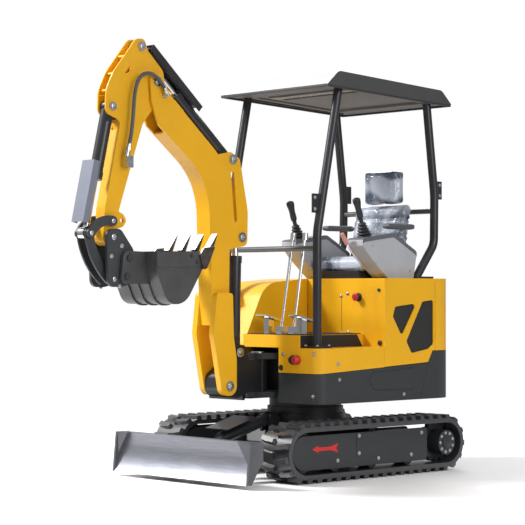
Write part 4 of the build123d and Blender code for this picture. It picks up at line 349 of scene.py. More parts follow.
def blade_steel():
    """Rolled steel brushed from end to end, dull above, with a painted reflection of the sky that makes it paler
    towards the cutting edge.
    """
    material, tree, shader = new_material()
    low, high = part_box("blade_mouldboard")
    lines = noise(tree, object_coordinates(tree, (30.0, 0.8, 30.0)), 8.0, 6.0, 0.7)
    brushed = ramp(tree, lines, 0.3, 0.7, *BRUSHED_STEEL)
    painted_reflection = ramp(tree, lines, 0.3, 0.7, *SKY_REFLECTION_STEEL)
    reflection_end = low.z + REFLECTION_SHARE * (high.z - low.z)
    # Painted reflection: full at the cutting edge, fading out up to its share of the blade's height.
    drop = spread(tree, height_in_frame(tree), 1.0, 0.0, low.z + REFLECTION_START, reflection_end)
    clouds = noise(tree, object_coordinates(tree, (1.0, 1.0, 3.0)), 4.0, 5.0, 0.6)
    blend = tree.nodes.new("ShaderNodeMath")
    blend.operation = "MULTIPLY"
    tree.links.new(drop, blend.inputs[0])
    tree.links.new(spread(tree, clouds, 0.55, 1.25, 0.3, 0.7), blend.inputs[1])
    tone = mix_colours(tree, blend.outputs[0], brushed, painted_reflection)
    dress(tree, shader, tone, spread(tree, lines, 0.30, 0.48))
    shader.inputs["Metallic"].default_value = 0.75
    bump(tree, shader, lines, 0.12, 0.0002)
    return material


def plastic(colour, roughness=0.5):
    """Moulded plastic with a fine leathery texture."""
    material, tree, shader = new_material()
    vector = object_coordinates(tree)
    tone = tones(tree, noise(tree, vector, 6.0, 4.0), colour, 0.9, 1.1)
    dress(tree, shader, tone, spread(tree, noise(tree, vector, 30.0), roughness - 0.08, roughness + 0.1))
    bump(tree, shader, noise(tree, vector, 900.0, 2.0), 0.5, 0.00025)
    return material


def capped_plastic(sides, top):
    """Moulded plastic whose upper faces are a darker cap."""
    material, tree, shader = new_material()
    vector = object_coordinates(tree)
    drift = noise(tree, vector, 6.0, 4.0)
    cap = spread(tree, upwardness(tree), 0.0, 1.0, 0.28, 0.34)
    tone = mix_colours(tree, cap, tones(tree, drift, sides, 0.92, 1.06), tones(tree, drift, top, 0.85, 1.15))
    dress(tree, shader, tone, spread(tree, noise(tree, vector, 30.0), 0.42, 0.58))
    bump(tree, shader, noise(tree, vector, 900.0, 2.0), 0.5, 0.0002)
    return material


def roof_shell(top, side, under):
    """The canopy: pale on its upper faces, dark on its rim and greyish underneath."""
    material, tree, shader = new_material()
    vector = object_coordinates(tree)
    drift = noise(tree, vector, 3.0, 5.0)
    top_tone = tones(tree, drift, top, 0.95, 1.03)
    side_tone = tones(tree, drift, side, 0.9, 1.1)
    facing = upwardness(tree)
    rim = mix_colours(tree, spread(tree, facing, 0.0, 1.0, 0.20, 0.30), side_tone, top_tone)
    tone = mix_colours(tree, spread(tree, facing, 1.0, 0.0, -0.40, -0.30), rim, under)
    dress(tree, shader, tone, spread(tree, noise(tree, vector, 25.0), 0.35, 0.5))
    bump(tree, shader, noise(tree, vector, 500.0, 2.0), 0.4, 0.0002)
    return material


def rubber(colour):
    """Glossy track rubber with dusty patches, and a painted highlight that makes the lugs' edges a little paler.
    """
    material, tree, shader = new_material()
    vector = object_coordinates(tree)
    dust = noise(tree, vector, 14.0, 8.0, 0.7)
    dusty = tones(tree, dust, colour, 0.75, 1.7, 0.35, 0.75)
    # Painted highlight: the lugs' convex edges are made 1.4 times paler, standing for the light they catch.
    tone = mix_colours(tree, edges(tree), dusty, shade(colour, 1.4))
    dress(tree, shader, tone, spread(tree, dust, 0.26, 0.52))
    set_inputs(shader, {"Coat Weight": 0.8, "Coat Roughness": 0.30})
    bump(tree, shader, noise(tree, vector, 260.0, 5.0, 0.7), 0.5, 0.0005)
    return material


def perforated(colour):
    """Dark sheet with rows of small round holes, bumped in and darkened with painted shade."""
    material, tree, shader = new_material()
    cells = tree.nodes.new("ShaderNodeTexVoronoi")
    set_inputs(cells, {"Scale": 110.0, "Randomness": 0.0})
    tree.links.new(object_coordinates(tree, (1.0, 0.02, 1.0)), cells.inputs["Vector"])
    holes = spread(tree, cells.outputs["Distance"], 0.0, 1.0, 0.30, 0.38)
    # Painted shade: the holes are darkened to 0.15 of the sheet, standing for the dark behind them.
    tree.links.new(mix_colours(tree, holes, shade(colour, 0.15), colour), shader.inputs["Base Color"])
    shader.inputs["Roughness"].default_value = 0.5
    bump(tree, shader, holes, 0.8, 0.0015)
    return material


def filmed_vinyl(colour, film):
    """Seat vinyl under a clear film that lies milky in places, partly the film's own whitish look and partly
    painted sheen, with painted highlights along fine creases.
    """
    material, tree, shader = new_material()
    vector = object_coordinates(tree)
    # The milky patches are partly the film's whitish look and partly a painted sheen.
    milky_and_sheen = mask(tree, noise(tree, vector, 4.2, 2.0, 0.5, 0.8), 0.43, 0.58)
    vinyl = tones(tree, noise(tree, vector, 9.0, 4.0), colour, 0.75, 1.35)
    laid = mix_colours(tree, milky_and_sheen, vinyl, film)
    creases = noise(tree, object_coordinates(tree, (1.0, 1.7, 0.8)), 26.0, 3.0, 0.55, 2.4)
    # Painted highlight: a paler film colour along the creases' ridges.
    painted_glints = mix_colours(tree, mask(tree, creases, 0.63, 0.70), laid, shade(film, 1.7))
    tree.links.new(painted_glints, shader.inputs["Base Color"])
    set_inputs(shader, {"Roughness": 0.30, "Coat Weight": 1.0, "Coat Roughness": 0.06})
    bump(tree, shader, creases, 0.7, 0.006)
    return material


def tooth_steel(top, side):
    """Digging teeth: near white on their upper faces, with brown scale on the sides."""
    material, tree, shader = new_material()
    drift = noise(tree, object_coordinates(tree), 30.0, 6.0, 0.65)
    facing = spread(tree, upwardness(tree), 0.0, 1.0, 0.12, 0.30)
    tone = mix_colours(tree, facing, tones(tree, drift, side, 0.6, 1.4), tones(tree, drift, top, 0.85, 1.1))
    dress(tree, shader, tone, spread(tree, drift, 0.32, 0.5))
    shader.inputs["Metallic"].default_value = 0.35
    bump(tree, shader, drift, 0.3, 0.0005)
    return material


YELLOW = (0.82, 0.42, 0.008)
GREY = (0.032, 0.035, 0.038)
CHARCOAL = (0.024, 0.026, 0.029)
BLACK = (0.014, 0.015, 0.017)
ROOF_TOP = (0.54, 0.54, 0.575)
ROOF_RIM = (0.060, 0.061, 0.062)
ROOF_UNDER = (0.135, 0.125, 0.115)


def make_materials():
    """One material for each slot of the record, then the ones for single nodes and added pieces."""
    made = {
        "yellow_paint": paint(YELLOW),
        "grey_paint": paint(GREY, roughness=0.42, coat=0.15),
        "dark_paint": paint(CHARCOAL, roughness=0.38, coat=0.2, variation=0.15),
        "rubber": rubber((0.021, 0.022, 0.025)),
        "bright_steel": metal((0.62, 0.63, 0.65), roughness=0.24),
        "cast_steel": worn_paint((0.066, 0.067, 0.066), bare=(0.13, 0.125, 0.12)),
        "barrel_paint": paint((0.022, 0.023, 0.027), roughness=0.3, coat=0.4),
        "chrome": metal((0.86, 0.87, 0.88), roughness=0.14, grain=12.0, mottle=0.04, relief=0.0),
        "roof_white": roof_shell(ROOF_TOP, ROOF_RIM, ROOF_UNDER),
        "lining_grey": paint((0.145, 0.132, 0.120), roughness=0.5, coat=0.0),
        "guard_paint": worn_paint((0.024, 0.023, 0.027), bare=(0.10, 0.10, 0.11)),
        "black_tube": paint((0.022, 0.023, 0.028), roughness=0.32, coat=0.3),
        "seat_black": filmed_vinyl((0.042, 0.062, 0.100), film=(0.47, 0.51, 0.60)),
        "dark_plastic": plastic(BLACK),
        "grey_plastic": capped_plastic(sides=(0.40, 0.41, 0.43), top=(0.095, 0.10, 0.115)),
        "red_plastic": plastic((0.56, 0.16, 0.12), roughness=0.35),
        "blade_steel": blade_steel(),
        "cheek_paint": worn_paint((0.095, 0.097, 0.108), bare=(0.28, 0.29, 0.31)),
        "linkage_paint": worn_paint((0.044, 0.047, 0.051), bare=(0.085, 0.088, 0.094)),
        "bracket_paint": paint((0.012, 0.013, 0.015), roughness=0.4, coat=0.2),
        "mesh_black": perforated((0.022, 0.024, 0.022)),
        "zinc": metal((0.60, 0.60, 0.58), roughness=0.30, mottle=0.15),
        "signal_red": plastic((0.50, 0.018, 0.022), roughness=0.3),
        "arrow_red": paint((0.62, 0.022, 0.018), roughness=0.45, coat=0.1),
        "mat_rubber": plastic((0.010, 0.010, 0.011), roughness=0.6),
        "hose_rubber": plastic((0.060, 0.061, 0.063)),
        "hose_wrap": plastic((0.20, 0.20, 0.195), roughness=0.45),
        "tooth_steel": tooth_steel(top=(0.80, 0.80, 0.79), side=(0.072, 0.057, 0.048)),
        "plate_grey": paint((0.19, 0.205, 0.255), roughness=0.4, coat=0.1),
        # The rails' dark grey is paler than the black tubes': partly their paint and partly a painted sheen for
        # the tube's highlight.
        "rail_paint_and_sheen": paint((0.075, 0.077, 0.085), roughness=0.3, coat=0.3),
        "cap_plastic": plastic((0.105, 0.110, 0.125)),
        "strip_beige": paint((0.30, 0.27, 0.225), roughness=0.5, coat=0.0),
        "trim_black": plastic((0.030, 0.031, 0.030), roughness=0.45),
        "armrest_grey": plastic((0.085, 0.090, 0.100), roughness=0.55),
        "grip_pink": plastic((0.62, 0.27, 0.23), roughness=0.4),
    }
    for name, material in made.items():
        material.name = name
    return made


NODE_MATERIALS = {
    "blade_mouldboard": "blade_steel",
    "blade_cheeks": "cheek_paint",
    "rocker": "linkage_paint",
    "bucket_link": "linkage_paint",
    "coupler": "linkage_paint",
    "swing_bracket": "bracket_paint",
    "deck_frame": "bracket_paint",
    "grilles": "mesh_black",
    "kingpost": "zinc",
    "bucket_teeth": "tooth_steel",
    "bucket_rod_guard": "plate_grey",
    "post_rails": "rail_paint_and_sheen",
    "travel_levers": "chrome",
    "pedals": "chrome",
}


# CAD nodes keep their shape and get a finish, softened edges and smooth curves

NODE_EDGE = 0.0018
PIECE_EDGE = 0.0006
SMOOTH_ANGLE = math.radians(32.0)


def smooth(mesh):
    mesh.shade_smooth()
    mesh.set_sharp_from_angle(angle=SMOOTH_ANGLE)


def soften(piece, width):
    bevel = piece.modifiers.new("soft_edge", "BEVEL")
    bevel.width = width
    bevel.segments = 2
    bevel.limit_method = "ANGLE"
    bevel.angle_limit = SMOOTH_ANGLE
    return bevel


def finish_node(name, material):
    node = nodes[name]
    node.data.materials.clear()
    node.data.materials.append(material)
    smooth(node.data)
    soften(node, NODE_EDGE).harden_normals = True


# Mesh helpers

BOLT_WASHER = [(0.0, 1.45), (0.22, 1.45)]
BOLT_HEAD = [(0.22, 1.0), (0.80, 1.0), (0.92, 0.84)]
RIBBON_SINK = 0.001


def join_rings(shape, rings, capped=True):
    """Faces between rings of as many points each, and a cap on either end."""
    for first, second in zip(rings, rings[1:]):
        for index in range(len(first)):
            after = (index + 1) % len(first)
            shape.faces.new((first[index], first[after], second[after], second[index]))
    if capped:
        shape.faces.new(list(reversed(rings[0])))
        shape.faces.new(rings[-1])


def add_turned(shape, start, direction, profile, steps=20):
    """A form turned about an axis; the profile gives distances along it with their radii."""
    along = direction.normalized()
    side = along.orthogonal().normalized()
    up = along.cross(side)
    rings = []
    for distance, radius in profile:
        centre = start + along * distance
        ring = []
        for step in range(steps):
            angle = 2 * math.pi * step / steps
            ring.append(shape.verts.new(centre + (side * math.cos(angle) + up * math.sin(angle)) * radius))
        rings.append(ring)
    join_rings(shape, rings)


def add_plate(shape, corners, outward, thickness):
    """A flat plate from its corners, given in their order round its rim."""
    lift = outward.normalized() * thickness
    back = [shape.verts.new(corner) for corner in corners]
    front = [shape.verts.new(corner + lift) for corner in corners]
    join_rings(shape, [back, front])


def add_bolt(shape, centre, outward, size):
    """A washer and a hexagon head with a chamfered top."""
    for profile, steps in ((BOLT_WASHER, 20), (BOLT_HEAD, 6)):
        grown = [(distance * size, radius * size) for distance, radius in profile]
        add_turned(shape, centre, outward, grown, steps)


def add_ribbon(shape, spots, width_way, width, proud):
    """A raised strip that follows spots on a surface, each a point and the way the surface looks."""
    half = width_way * width / 2
    rings = []
    for point, outward in spots:
        sunk = point - outward * RIBBON_SINK
        top = point + outward * proud
        corners = (sunk - half, top - half, top + half, sunk + half)
        rings.append([shape.verts.new(corner) for corner in corners])
    join_rings(shape, rings)


def new_piece(name, shape, finish, body="house", soft_edge=PIECE_EDGE):
    """Makes an object of a mesh under construction, and lets it ride on a body."""
    bmesh.ops.recalc_face_normals(shape, faces=shape.faces)
    mesh = bpy.data.meshes.new(name)
    shape.to_mesh(mesh)
    shape.free()
    mesh.materials.append(materials[finish])
    smooth(mesh)
    piece = new_object(name, mesh)
    if soft_edge:
        soften(piece, soft_edge)
    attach(piece, body)
    return piece


def make_bolts(name, finish, places, size, body="house"):
    """Bolts joined into one piece; each place is a point and the way its head looks."""
    shape = bmesh.new()
    for centre, outward in places:
        add_bolt(shape, centre, outward, size)
    return new_piece(name, shape, finish, body)


def evaluated_mesh(source):
    """The mesh that an object's modifiers or curve settings give; the object goes."""
    bpy.context.view_layer.update()
    graph = bpy.context.evaluated_depsgraph_get()
    mesh = bpy.data.meshes.new_from_object(source.evaluated_get(graph))
    name = source.name
    bpy.data.objects.remove(source)
    mesh.name = name
    return mesh


# Seat: pads that are blown up as cloth from the space of their solids

PAD_VOXEL = 0.006
PAD_SHRINK = 0.006
PAD_FRAMES = 20
PAD_PRESSURE = 4.0
SMALLEST_MOVE = 1e-9


def remeshed(name, mesh):
    """An even closed skin over a mesh, drawn in a little."""
    source = new_object(name, mesh)
    remesh = source.modifiers.new("remesh", "REMESH")
    remesh.mode = "VOXEL"
    remesh.voxel_size = PAD_VOXEL
    skin = evaluated_mesh(source)
    normals = [vertex.normal.copy() for vertex in skin.vertices]
    for vertex, normal in zip(skin.vertices, normals):
        vertex.co -= normal * PAD_SHRINK
    return skin


def blown_up(pad, cap):
    """Runs the cloth with air inside and keeps each point within a cap of where it started."""
    start = [vertex.co.copy() for vertex in pad.data.vertices]
    cloth = pad.modifiers.new("cloth", "CLOTH")
    cloth.settings.quality = 5
    cloth.settings.use_pressure = True
    cloth.settings.uniform_pressure_force = PAD_PRESSURE
    cloth.settings.effector_weights.gravity = 0.0
    cloth.collision_settings.use_collision = False
    cloth.point_cache.frame_start = 1
    cloth.point_cache.frame_end = PAD_FRAMES
    scene = bpy.context.scene
    for step in range(1, PAD_FRAMES + 1):
        scene.frame_set(step)
    graph = bpy.context.evaluated_depsgraph_get()
    swollen = [vertex.co.copy() for vertex in pad.evaluated_get(graph).data.vertices]
    pad.modifiers.remove(cloth)
    scene.frame_set(1)
    for vertex, before, after in zip(pad.data.vertices, start, swollen):
        move = after - before
        vertex.co = before + move * min(1.0, cap / max(move.length, SMALLEST_MOVE))


def make_pad(name, mesh, node, cap, finish="seat_black"):
    """A padded piece that stands for a soft CAD node."""
    skin = remeshed(name, mesh)
    skin.materials.clear()
    skin.materials.append(materials[finish])
    pad = new_object(name, skin)
    blown_up(pad, cap)
    skin.shade_smooth()
    pad.modifiers.new("smooth", "SUBSURF").render_levels = 1
    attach(pad, "house")
    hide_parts(node)
    return pad


CREASE_DEPTH = 0.007
CREASE_WIDTH = 0.012


def crease(pad, node, axis, shares):
    """Sinks sewn lines into a pad, at shares of its node's length along an axis of the frame."""
    low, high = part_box(node)
    for share in shares:
        level = low[axis] + share * (high[axis] - low[axis])
        normals = [vertex.normal.copy() for vertex in pad.data.vertices]
        for vertex, normal in zip(pad.data.vertices, normals):
            away = (vertex.co[axis] - level) / CREASE_WIDTH
            vertex.co -= normal * CREASE_DEPTH * math.exp(-away * away)


def rounded_block(low, high, radius):
    """A box mesh with round edges."""
    shape = bmesh.new()
    stretch = Matrix.Diagonal((*(high - low), 1.0))
    bmesh.ops.create_cube(shape, size=1.0, matrix=Matrix.Translation((low + high) / 2) @ stretch)
    bmesh.ops.bevel(shape, geom=shape.edges[:], offset=radius, segments=4, profile=0.5, affect="EDGES")
    mesh = bpy.data.meshes.new("rounded_block")
    shape.to_mesh(mesh)
    shape.free()
    return mesh


HEADREST_PAD = 0.180
HEADREST_GROWTH = Vector((0.014, 0.018, 0.030))
HEADREST_ROUND = 0.028
STALK_RADIUS = 0.007
STALK_SPACING = 0.110
STALK_SINK = 0.012
STALK_COLLAR = [(0.0, 0.0119), (0.006, 0.0119), (0.007, STALK_RADIUS)]


def make_seat():
    cushion = make_pad("cushion_pad", nodes["seat_cushion"].data.copy(), "seat_cushion", cap=0.014)
    crease(cushion, "seat_cushion", 0, (0.33, 0.66))
    back = make_pad("back_pad", nodes["seat_back"].data.copy(), "seat_back", cap=0.009)
    crease(back, "seat_back", 2, (0.38, 0.72))
    low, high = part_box("headrest")
    pad_low = Vector((low.x - HEADREST_GROWTH.x, low.y - HEADREST_GROWTH.y, high.z - HEADREST_PAD))
    block = rounded_block(pad_low, high + HEADREST_GROWTH, HEADREST_ROUND)
    make_pad("headrest_pad", block, "headrest", cap=0.005)
    make_pad("armrest_pads", nodes["armrests"].data.copy(), "armrests", cap=0.004,
             finish="armrest_grey")
    shape = bmesh.new()
    middle = (low + high) / 2
    stalk = STALK_COLLAR + [(pad_low.z - low.z + STALK_SINK, STALK_RADIUS)]
    for side in (-1, 1):
        foot = Vector((middle.x, middle.y + side * STALK_SPACING / 2, low.z))
        add_turned(shape, foot, UP, stalk, 16)
    new_piece("headrest_stalks", shape, "chrome")


# Joysticks: ribbed bellows under a slim grip

JOYSTICK_FOOT = (-120.0, 1362.0)
JOYSTICK_TOP = (-44.0, 1590.0)
JOYSTICK_Y = (368.0, -178.0)
JOYSTICK_EDGE = 0.0008
BELLOWS_RIBS = 5
BELLOWS_HEIGHT = 0.088
BELLOWS_RADIUS = 0.045
BELLOWS_TAPER = 0.58
BELLOWS_RIB = [(0.0, 0.80), (0.30, 1.0), (0.55, 1.0), (0.95, 0.72)]
GRIP_PROFILE = [(0.080, 0.012), (0.112, 0.012), (0.118, 0.017), (0.135, 0.019), (0.165, 0.0175),
                (0.190, 0.019), (0.205, 0.0225), (0.222, 0.0235), (0.231, 0.020), (0.236, 0.010)]
THUMB_HEIGHT = 0.214
THUMB_SWITCH = [(0.015, 0.008), (0.027, 0.008), (0.029, 0.006)]


def bellows_profile():
    profile = []
    for rib in range(BELLOWS_RIBS):
        share = rib / BELLOWS_RIBS
        outer = BELLOWS_RADIUS * (1.0 - BELLOWS_TAPER * share)
        for rise, swell in BELLOWS_RIB:
            profile.append((BELLOWS_HEIGHT * (rib + rise) / BELLOWS_RIBS, outer * swell))
    return profile


def make_joysticks():
    shape = bmesh.new()
    for y in JOYSTICK_Y:
        foot = place(JOYSTICK_FOOT[0], y, JOYSTICK_FOOT[1])
        direction = place(JOYSTICK_TOP[0], y, JOYSTICK_TOP[1]) - foot
        add_turned(shape, foot, direction, bellows_profile(), 28)
        add_turned(shape, foot, direction, GRIP_PROFILE)
        thumb = foot + direction.normalized() * THUMB_HEIGHT
        add_turned(shape, thumb, FORWARD, THUMB_SWITCH, 14)
    sticks = new_piece("joystick_bellows", shape, "dark_plastic", soft_edge=JOYSTICK_EDGE)
    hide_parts("joysticks")


# Consoles: a dark cap along the top, and the locking lever in front of the left one

CONSOLE_HALF_WIDTH = 60.0
CONSOLE_LINE = [(-41, 1345), (-52, 1353), (-190, 1371.5), (-292, 1385), (-308, 1381.5), (-486, 1288),
                (-497, 1276)]
CONSOLE_SCREWS = ((-120, 1310), (-440, 1170), (-150, 1215))
CAP_DROP = 22.0
CAP_THICKNESS = 2.0
LEVER_LINE = [(-176, 1178), (-72, 1264), (-24, 1322)]
LEVER_GRIP_TOP = (20, 1384)
LEVER_Y = 318.0
LEVER_RADIUS = 0.0055
LEVER_TIP = 0.004
LEVER_TIP_RADIUS = 0.003


def add_channel(shape, line, middle_y):
    """A strip with turned-down edges that lies along a line, given as distances ahead and heights."""
    inner = CONSOLE_HALF_WIDTH
    outer = inner + CAP_THICKNESS
    section = [(outer, -CAP_DROP), (outer, CAP_THICKNESS), (-outer, CAP_THICKNESS), (-outer, -CAP_DROP),
               (-inner, -CAP_DROP), (-inner, 0.0), (inner, 0.0), (inner, -CAP_DROP)]
    rings = []
    for x, z in line:
        rings.append([shape.verts.new(place(x, middle_y + across, z + up)) for across, up in section])
    join_rings(shape, rings)


def make_console_caps():
    shape = bmesh.new()
    for y in JOYSTICK_Y:
        add_channel(shape, CONSOLE_LINE, y)
    new_piece("console_caps", shape, "cap_plastic")
    side_y = JOYSTICK_Y[0] + CONSOLE_HALF_WIDTH
    screws = [(place(x, side_y, z), LEFT) for x, z in CONSOLE_SCREWS]
    make_bolts("console_screws", "zinc", screws, size=0.0045)


def make_locking_lever():
    spots = [place(x, LEVER_Y, z) for x, z in LEVER_LINE]
    shape = bmesh.new()
    for start, end in zip(spots, spots[1:]):
        run = end - start
        rod = [(-LEVER_TIP, LEVER_TIP_RADIUS), (0.0, LEVER_RADIUS), (run.length, LEVER_RADIUS),
               (run.length + LEVER_TIP, LEVER_TIP_RADIUS)]
        add_turned(shape, start, run, rod, 14)
    lever = new_piece("locking_lever", shape, "chrome")
    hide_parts("safety_lever")
    shape = bmesh.new()
    run = place(LEVER_GRIP_TOP[0], LEVER_Y, LEVER_GRIP_TOP[1]) - spots[-1]
    length = run.length
    grip = [(-0.004, 0.009), (0.002, 0.012), (length * 0.4, 0.0135), (length * 0.8, 0.0125),
            (length - 0.004, 0.010), (length, 0.005)]
    add_turned(shape, spots[-1], run, grip, 18)
    new_piece("lever_grip", shape, "grip_pink", soft_edge=0.0)


# Step box: bolts, a plugged hole, and the switch with its key

STEP_FRONT_BOLTS = ((187, 695), (435, 701))
STEP_SIDE_BOLT = (217, 643)
SWITCH_SPOT = (268, 664)
SWITCH_BASE = [(0.0, 0.027), (0.004, 0.027), (0.006, 0.022), (0.020, 0.020)]
PLUG_SPOT = (171, 618)
PLUG = [(0.0, 0.017), (0.0025, 0.017), (0.0035, 0.013), (0.001, 0.011)]
KEY_SPOT = (306, 664)
KEY = [(0.0, 0.026), (0.018, 0.026), (0.024, 0.022), (0.034, 0.020), (0.037, 0.016)]
KEY_EDGE = 0.0015


def make_step_fittings():
    bolts = [(ahead_of("step_box", y, z), FORWARD) for y, z in STEP_FRONT_BOLTS]
    bolts.append((beside("step_box", *STEP_SIDE_BOLT), LEFT))
    make_bolts("step_bolts", "zinc", bolts, size=0.0085)
    shape = bmesh.new()
    for spot, profile in ((SWITCH_SPOT, SWITCH_BASE), (PLUG_SPOT, PLUG)):
        add_turned(shape, ahead_of("step_box", *spot), FORWARD, profile, 24)
    new_piece("switch_base", shape, "dark_plastic")
    shape = bmesh.new()
    add_turned(shape, ahead_of("step_box", *KEY_SPOT), FORWARD, KEY, 8)
    new_piece("switch_key", shape, "signal_red", soft_edge=KEY_EDGE)


# Panel in front of the seat: knob, bolts, latches and door seam

PANEL_BOLTS = ((132, 1022), (186, 1036), (136, 802), (193, 812))
KNOB_SPOT = (274, 1016)
KNOB = [(0.010, 0.012), (0.022, 0.012), (0.026, 0.021), (0.034, 0.022), (0.040, 0.016)]
KNOB_BASE = [(0.0, 0.026), (0.004, 0.026), (0.006, 0.018), (0.012, 0.017)]
LATCHES = (((437, 1057), 0.010), ((445, 753), 0.015))
PANEL_SEAM = ((136, 818), (139, 818), (136, 1008), (133, 1008))
PANEL_SEAM_PROUD = 0.0008


def make_panel_fittings():
    bolts = [(ahead_of("seat_panel", y, z), FORWARD) for y, z in PANEL_BOLTS]
    make_bolts("panel_bolts", "zinc", bolts, size=0.0075)
    knob = ahead_of("seat_panel", *KNOB_SPOT)
    shape = bmesh.new()
    add_turned(shape, knob, FORWARD, KNOB, 24)
    new_piece("stop_knob", shape, "signal_red")
    shape = bmesh.new()
    add_turned(shape, knob, FORWARD, KNOB_BASE, 24)
    for spot, radius in LATCHES:
        latch = [(0.0, radius), (0.006, radius), (0.008, radius * 0.7)]
        add_turned(shape, ahead_of("seat_panel", *spot), FORWARD, latch)
    seam = [ahead_of("seat_panel", y, z) for y, z in PANEL_SEAM]
    add_plate(shape, seam, FORWARD, PANEL_SEAM_PROUD)
    new_piece("panel_latches", shape, "dark_plastic")


# Floor: a ribbed rubber mat, and a dark plate on the open side that stands for the shade there

MAT_RIBS = 16
MAT_INSET = 0.012
MAT_RIB_SHARE = 0.62
MAT_RIB_HEIGHT = 0.005
MAT_HEIGHT = 0.0025
# The dark plate on the floor's open side is painted shade, standing for the shade under the floor's edge.
SHADE_PLATE_SLANT = 0.045
SHADE_PLATE_TOP_GAP = 0.002
SHADE_PLATE_BASE_GAP = 0.001
SHADE_PLATE_THICKNESS = 0.003


def make_floor_mat():
    low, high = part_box("floor")
    left_y = high.y - MAT_INSET
    right_y = low.y + MAT_INSET
    rear_x = low.x + MAT_INSET
    front_x = high.x - MAT_INSET
    shape = bmesh.new()

    def add_mat(start, end, height):
        corners = [Vector((start, right_y, high.z)), Vector((end, right_y, high.z)),
                   Vector((end, left_y, high.z)), Vector((start, left_y, high.z))]
        add_plate(shape, corners, UP, height)

    pitch = (front_x - rear_x) / MAT_RIBS
    for rib in range(MAT_RIBS):
        start = rear_x + rib * pitch
        add_mat(start, start + pitch * MAT_RIB_SHARE, MAT_RIB_HEIGHT)
    add_mat(rear_x, front_x, MAT_HEIGHT)
    # Painted shade: a dark plate on the floor's open side, where that side lies in shade.
    top_z = high.z - SHADE_PLATE_TOP_GAP
    base_z = low.z + SHADE_PLATE_BASE_GAP
    plate = [Vector((front_x, high.y, base_z)), Vector((rear_x, high.y, base_z)),
             Vector((rear_x + SHADE_PLATE_SLANT, high.y, top_z)), Vector((front_x, high.y, top_z))]
    add_plate(shape, plate, LEFT, SHADE_PLATE_THICKNESS)
    new_piece("floor_mat_and_shade_plate", shape, "mat_rubber")


# Bolts of the skirts and the canopy posts

SKIRT_SIDE_BOLTS = ((204, 555), (-330, 455))
SKIRT_FRONT_BOLT = (427, 465)
TAB_SPOTS = ((299.0, 1544.0), (-757.0, 1654.0))
TAB_FACE_Y = 382.0
TAB_BOLT_GAP = 0.032
FOOT_MIDDLE = (277.0, 377.0)
FOOT_BOLT_REACH = 46.0
FOOT_PLATE = 0.012


def make_skirt_bolts():
    places = [(beside("skirts", x, z), LEFT) for x, z in SKIRT_SIDE_BOLTS]
    places.append((ahead_of("skirts", *SKIRT_FRONT_BOLT), FORWARD))
    make_bolts("skirt_bolts", "zinc", places, size=0.0075)


def make_post_bolts():
    """Bolts through the flat tabs on the canopy posts, and round the foot of the left front post."""
    places = []
    for x, z in TAB_SPOTS:
        for side in (1, -1):
            for step in (-1, 1):
                centre = place(x, side * TAB_FACE_Y, z) + UP * step * TAB_BOLT_GAP
                places.append((centre, LEFT * side))
    make_bolts("post_bolts", "zinc", places, size=0.0075)
    top = UP * (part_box("front_posts")[0].z + FOOT_PLATE)
    places = []
    for ahead, aside in SQUARE:
        x = FOOT_MIDDLE[0] + ahead * FOOT_BOLT_REACH
        y = FOOT_MIDDLE[1] + aside * FOOT_BOLT_REACH
        places.append((place(x, y, 0) + top, UP))
    make_bolts("foot_bolts", "zinc", places, size=0.008)


# Rear of the hood: door seam, louvres with painted shade under them, and latch, as is usual for the type

PROBE_X = -2000
REAR_STEP = 20.0
SEAM_HALF_WIDTH = 260
SEAM_HEIGHTS = (812.0, 1080.0)
SEAM_WIDTH = 0.003
SEAM_PROUD = 0.0006
LOUVRE_HALF_WIDTH = 140
LOUVRE_HEIGHTS = (870.0, 895.0, 920.0, 945.0, 970.0)
LOUVRE_WIDTH = 0.007
LOUVRE_PROUD = 0.0015
# The dark strips just under the louvres are painted shade.
LOUVRE_SHADE_DROP = 7.0
LOUVRE_SHADE_WIDTH = 0.008
LOUVRE_SHADE_PROUD = 0.0008
LATCH_Z = 1045.0
LATCH = [(-0.002, 0.019), (0.0008, 0.019), (0.0015, 0.016), (0.0003, 0.014), (0.0012, 0.005)]


def behind(y, z):
    return on_surface("hood_rear", place(PROBE_X, y, z), FORWARD)


def rear_row(half_width, z):
    count = round(2 * half_width / REAR_STEP)
    return [behind(-half_width + step * REAR_STEP, z) for step in range(count + 1)]


def make_hood_door():
    shape = bmesh.new()
    for z in SEAM_HEIGHTS:
        add_ribbon(shape, rear_row(SEAM_HALF_WIDTH, z), UP, SEAM_WIDTH, SEAM_PROUD)
    for y in (-SEAM_HALF_WIDTH, SEAM_HALF_WIDTH):
        add_ribbon(shape, [behind(y, z) for z in SEAM_HEIGHTS], LEFT, SEAM_WIDTH, SEAM_PROUD)
    # Painted shade: a dark strip just under each louvre, standing for the shade beneath its lip.
    for z in LOUVRE_HEIGHTS:
        add_ribbon(shape, rear_row(LOUVRE_HALF_WIDTH, z - LOUVRE_SHADE_DROP), UP, LOUVRE_SHADE_WIDTH, LOUVRE_SHADE_PROUD)
    add_turned(shape, *behind(0.0, LATCH_Z), LATCH, 24)
    new_piece("hood_seam_latch_and_louvre_shade", shape, "dark_plastic", soft_edge=0.0)
    shape = bmesh.new()
    for z in LOUVRE_HEIGHTS:
        add_ribbon(shape, rear_row(LOUVRE_HALF_WIDTH, z), UP, LOUVRE_WIDTH, LOUVRE_PROUD)
    new_piece("hood_louvres", shape, "yellow_paint")


# Roof: two pale cross strips with their bolts below, and the dark rolled lip round the lower edge

STRIP_LENGTH_STEPS = 8
STRIP_HALF_LENGTH = 330.0
STRIP_WIDTH = 0.070
STRIP_THICKNESS = 0.004
STRIP_ROWS = (177.0, -50.0)
STRIP_PROBE = (30.0, 1900.0)
TRIM_DROP = 0.011
TRIM_WIDTH = 0.016
TRIM_INSET = 0.001
TRIM_EDGE = 0.002
TRIM_PROBE_INSET = 0.004
TRIM_PROBE_DROP = 0.1


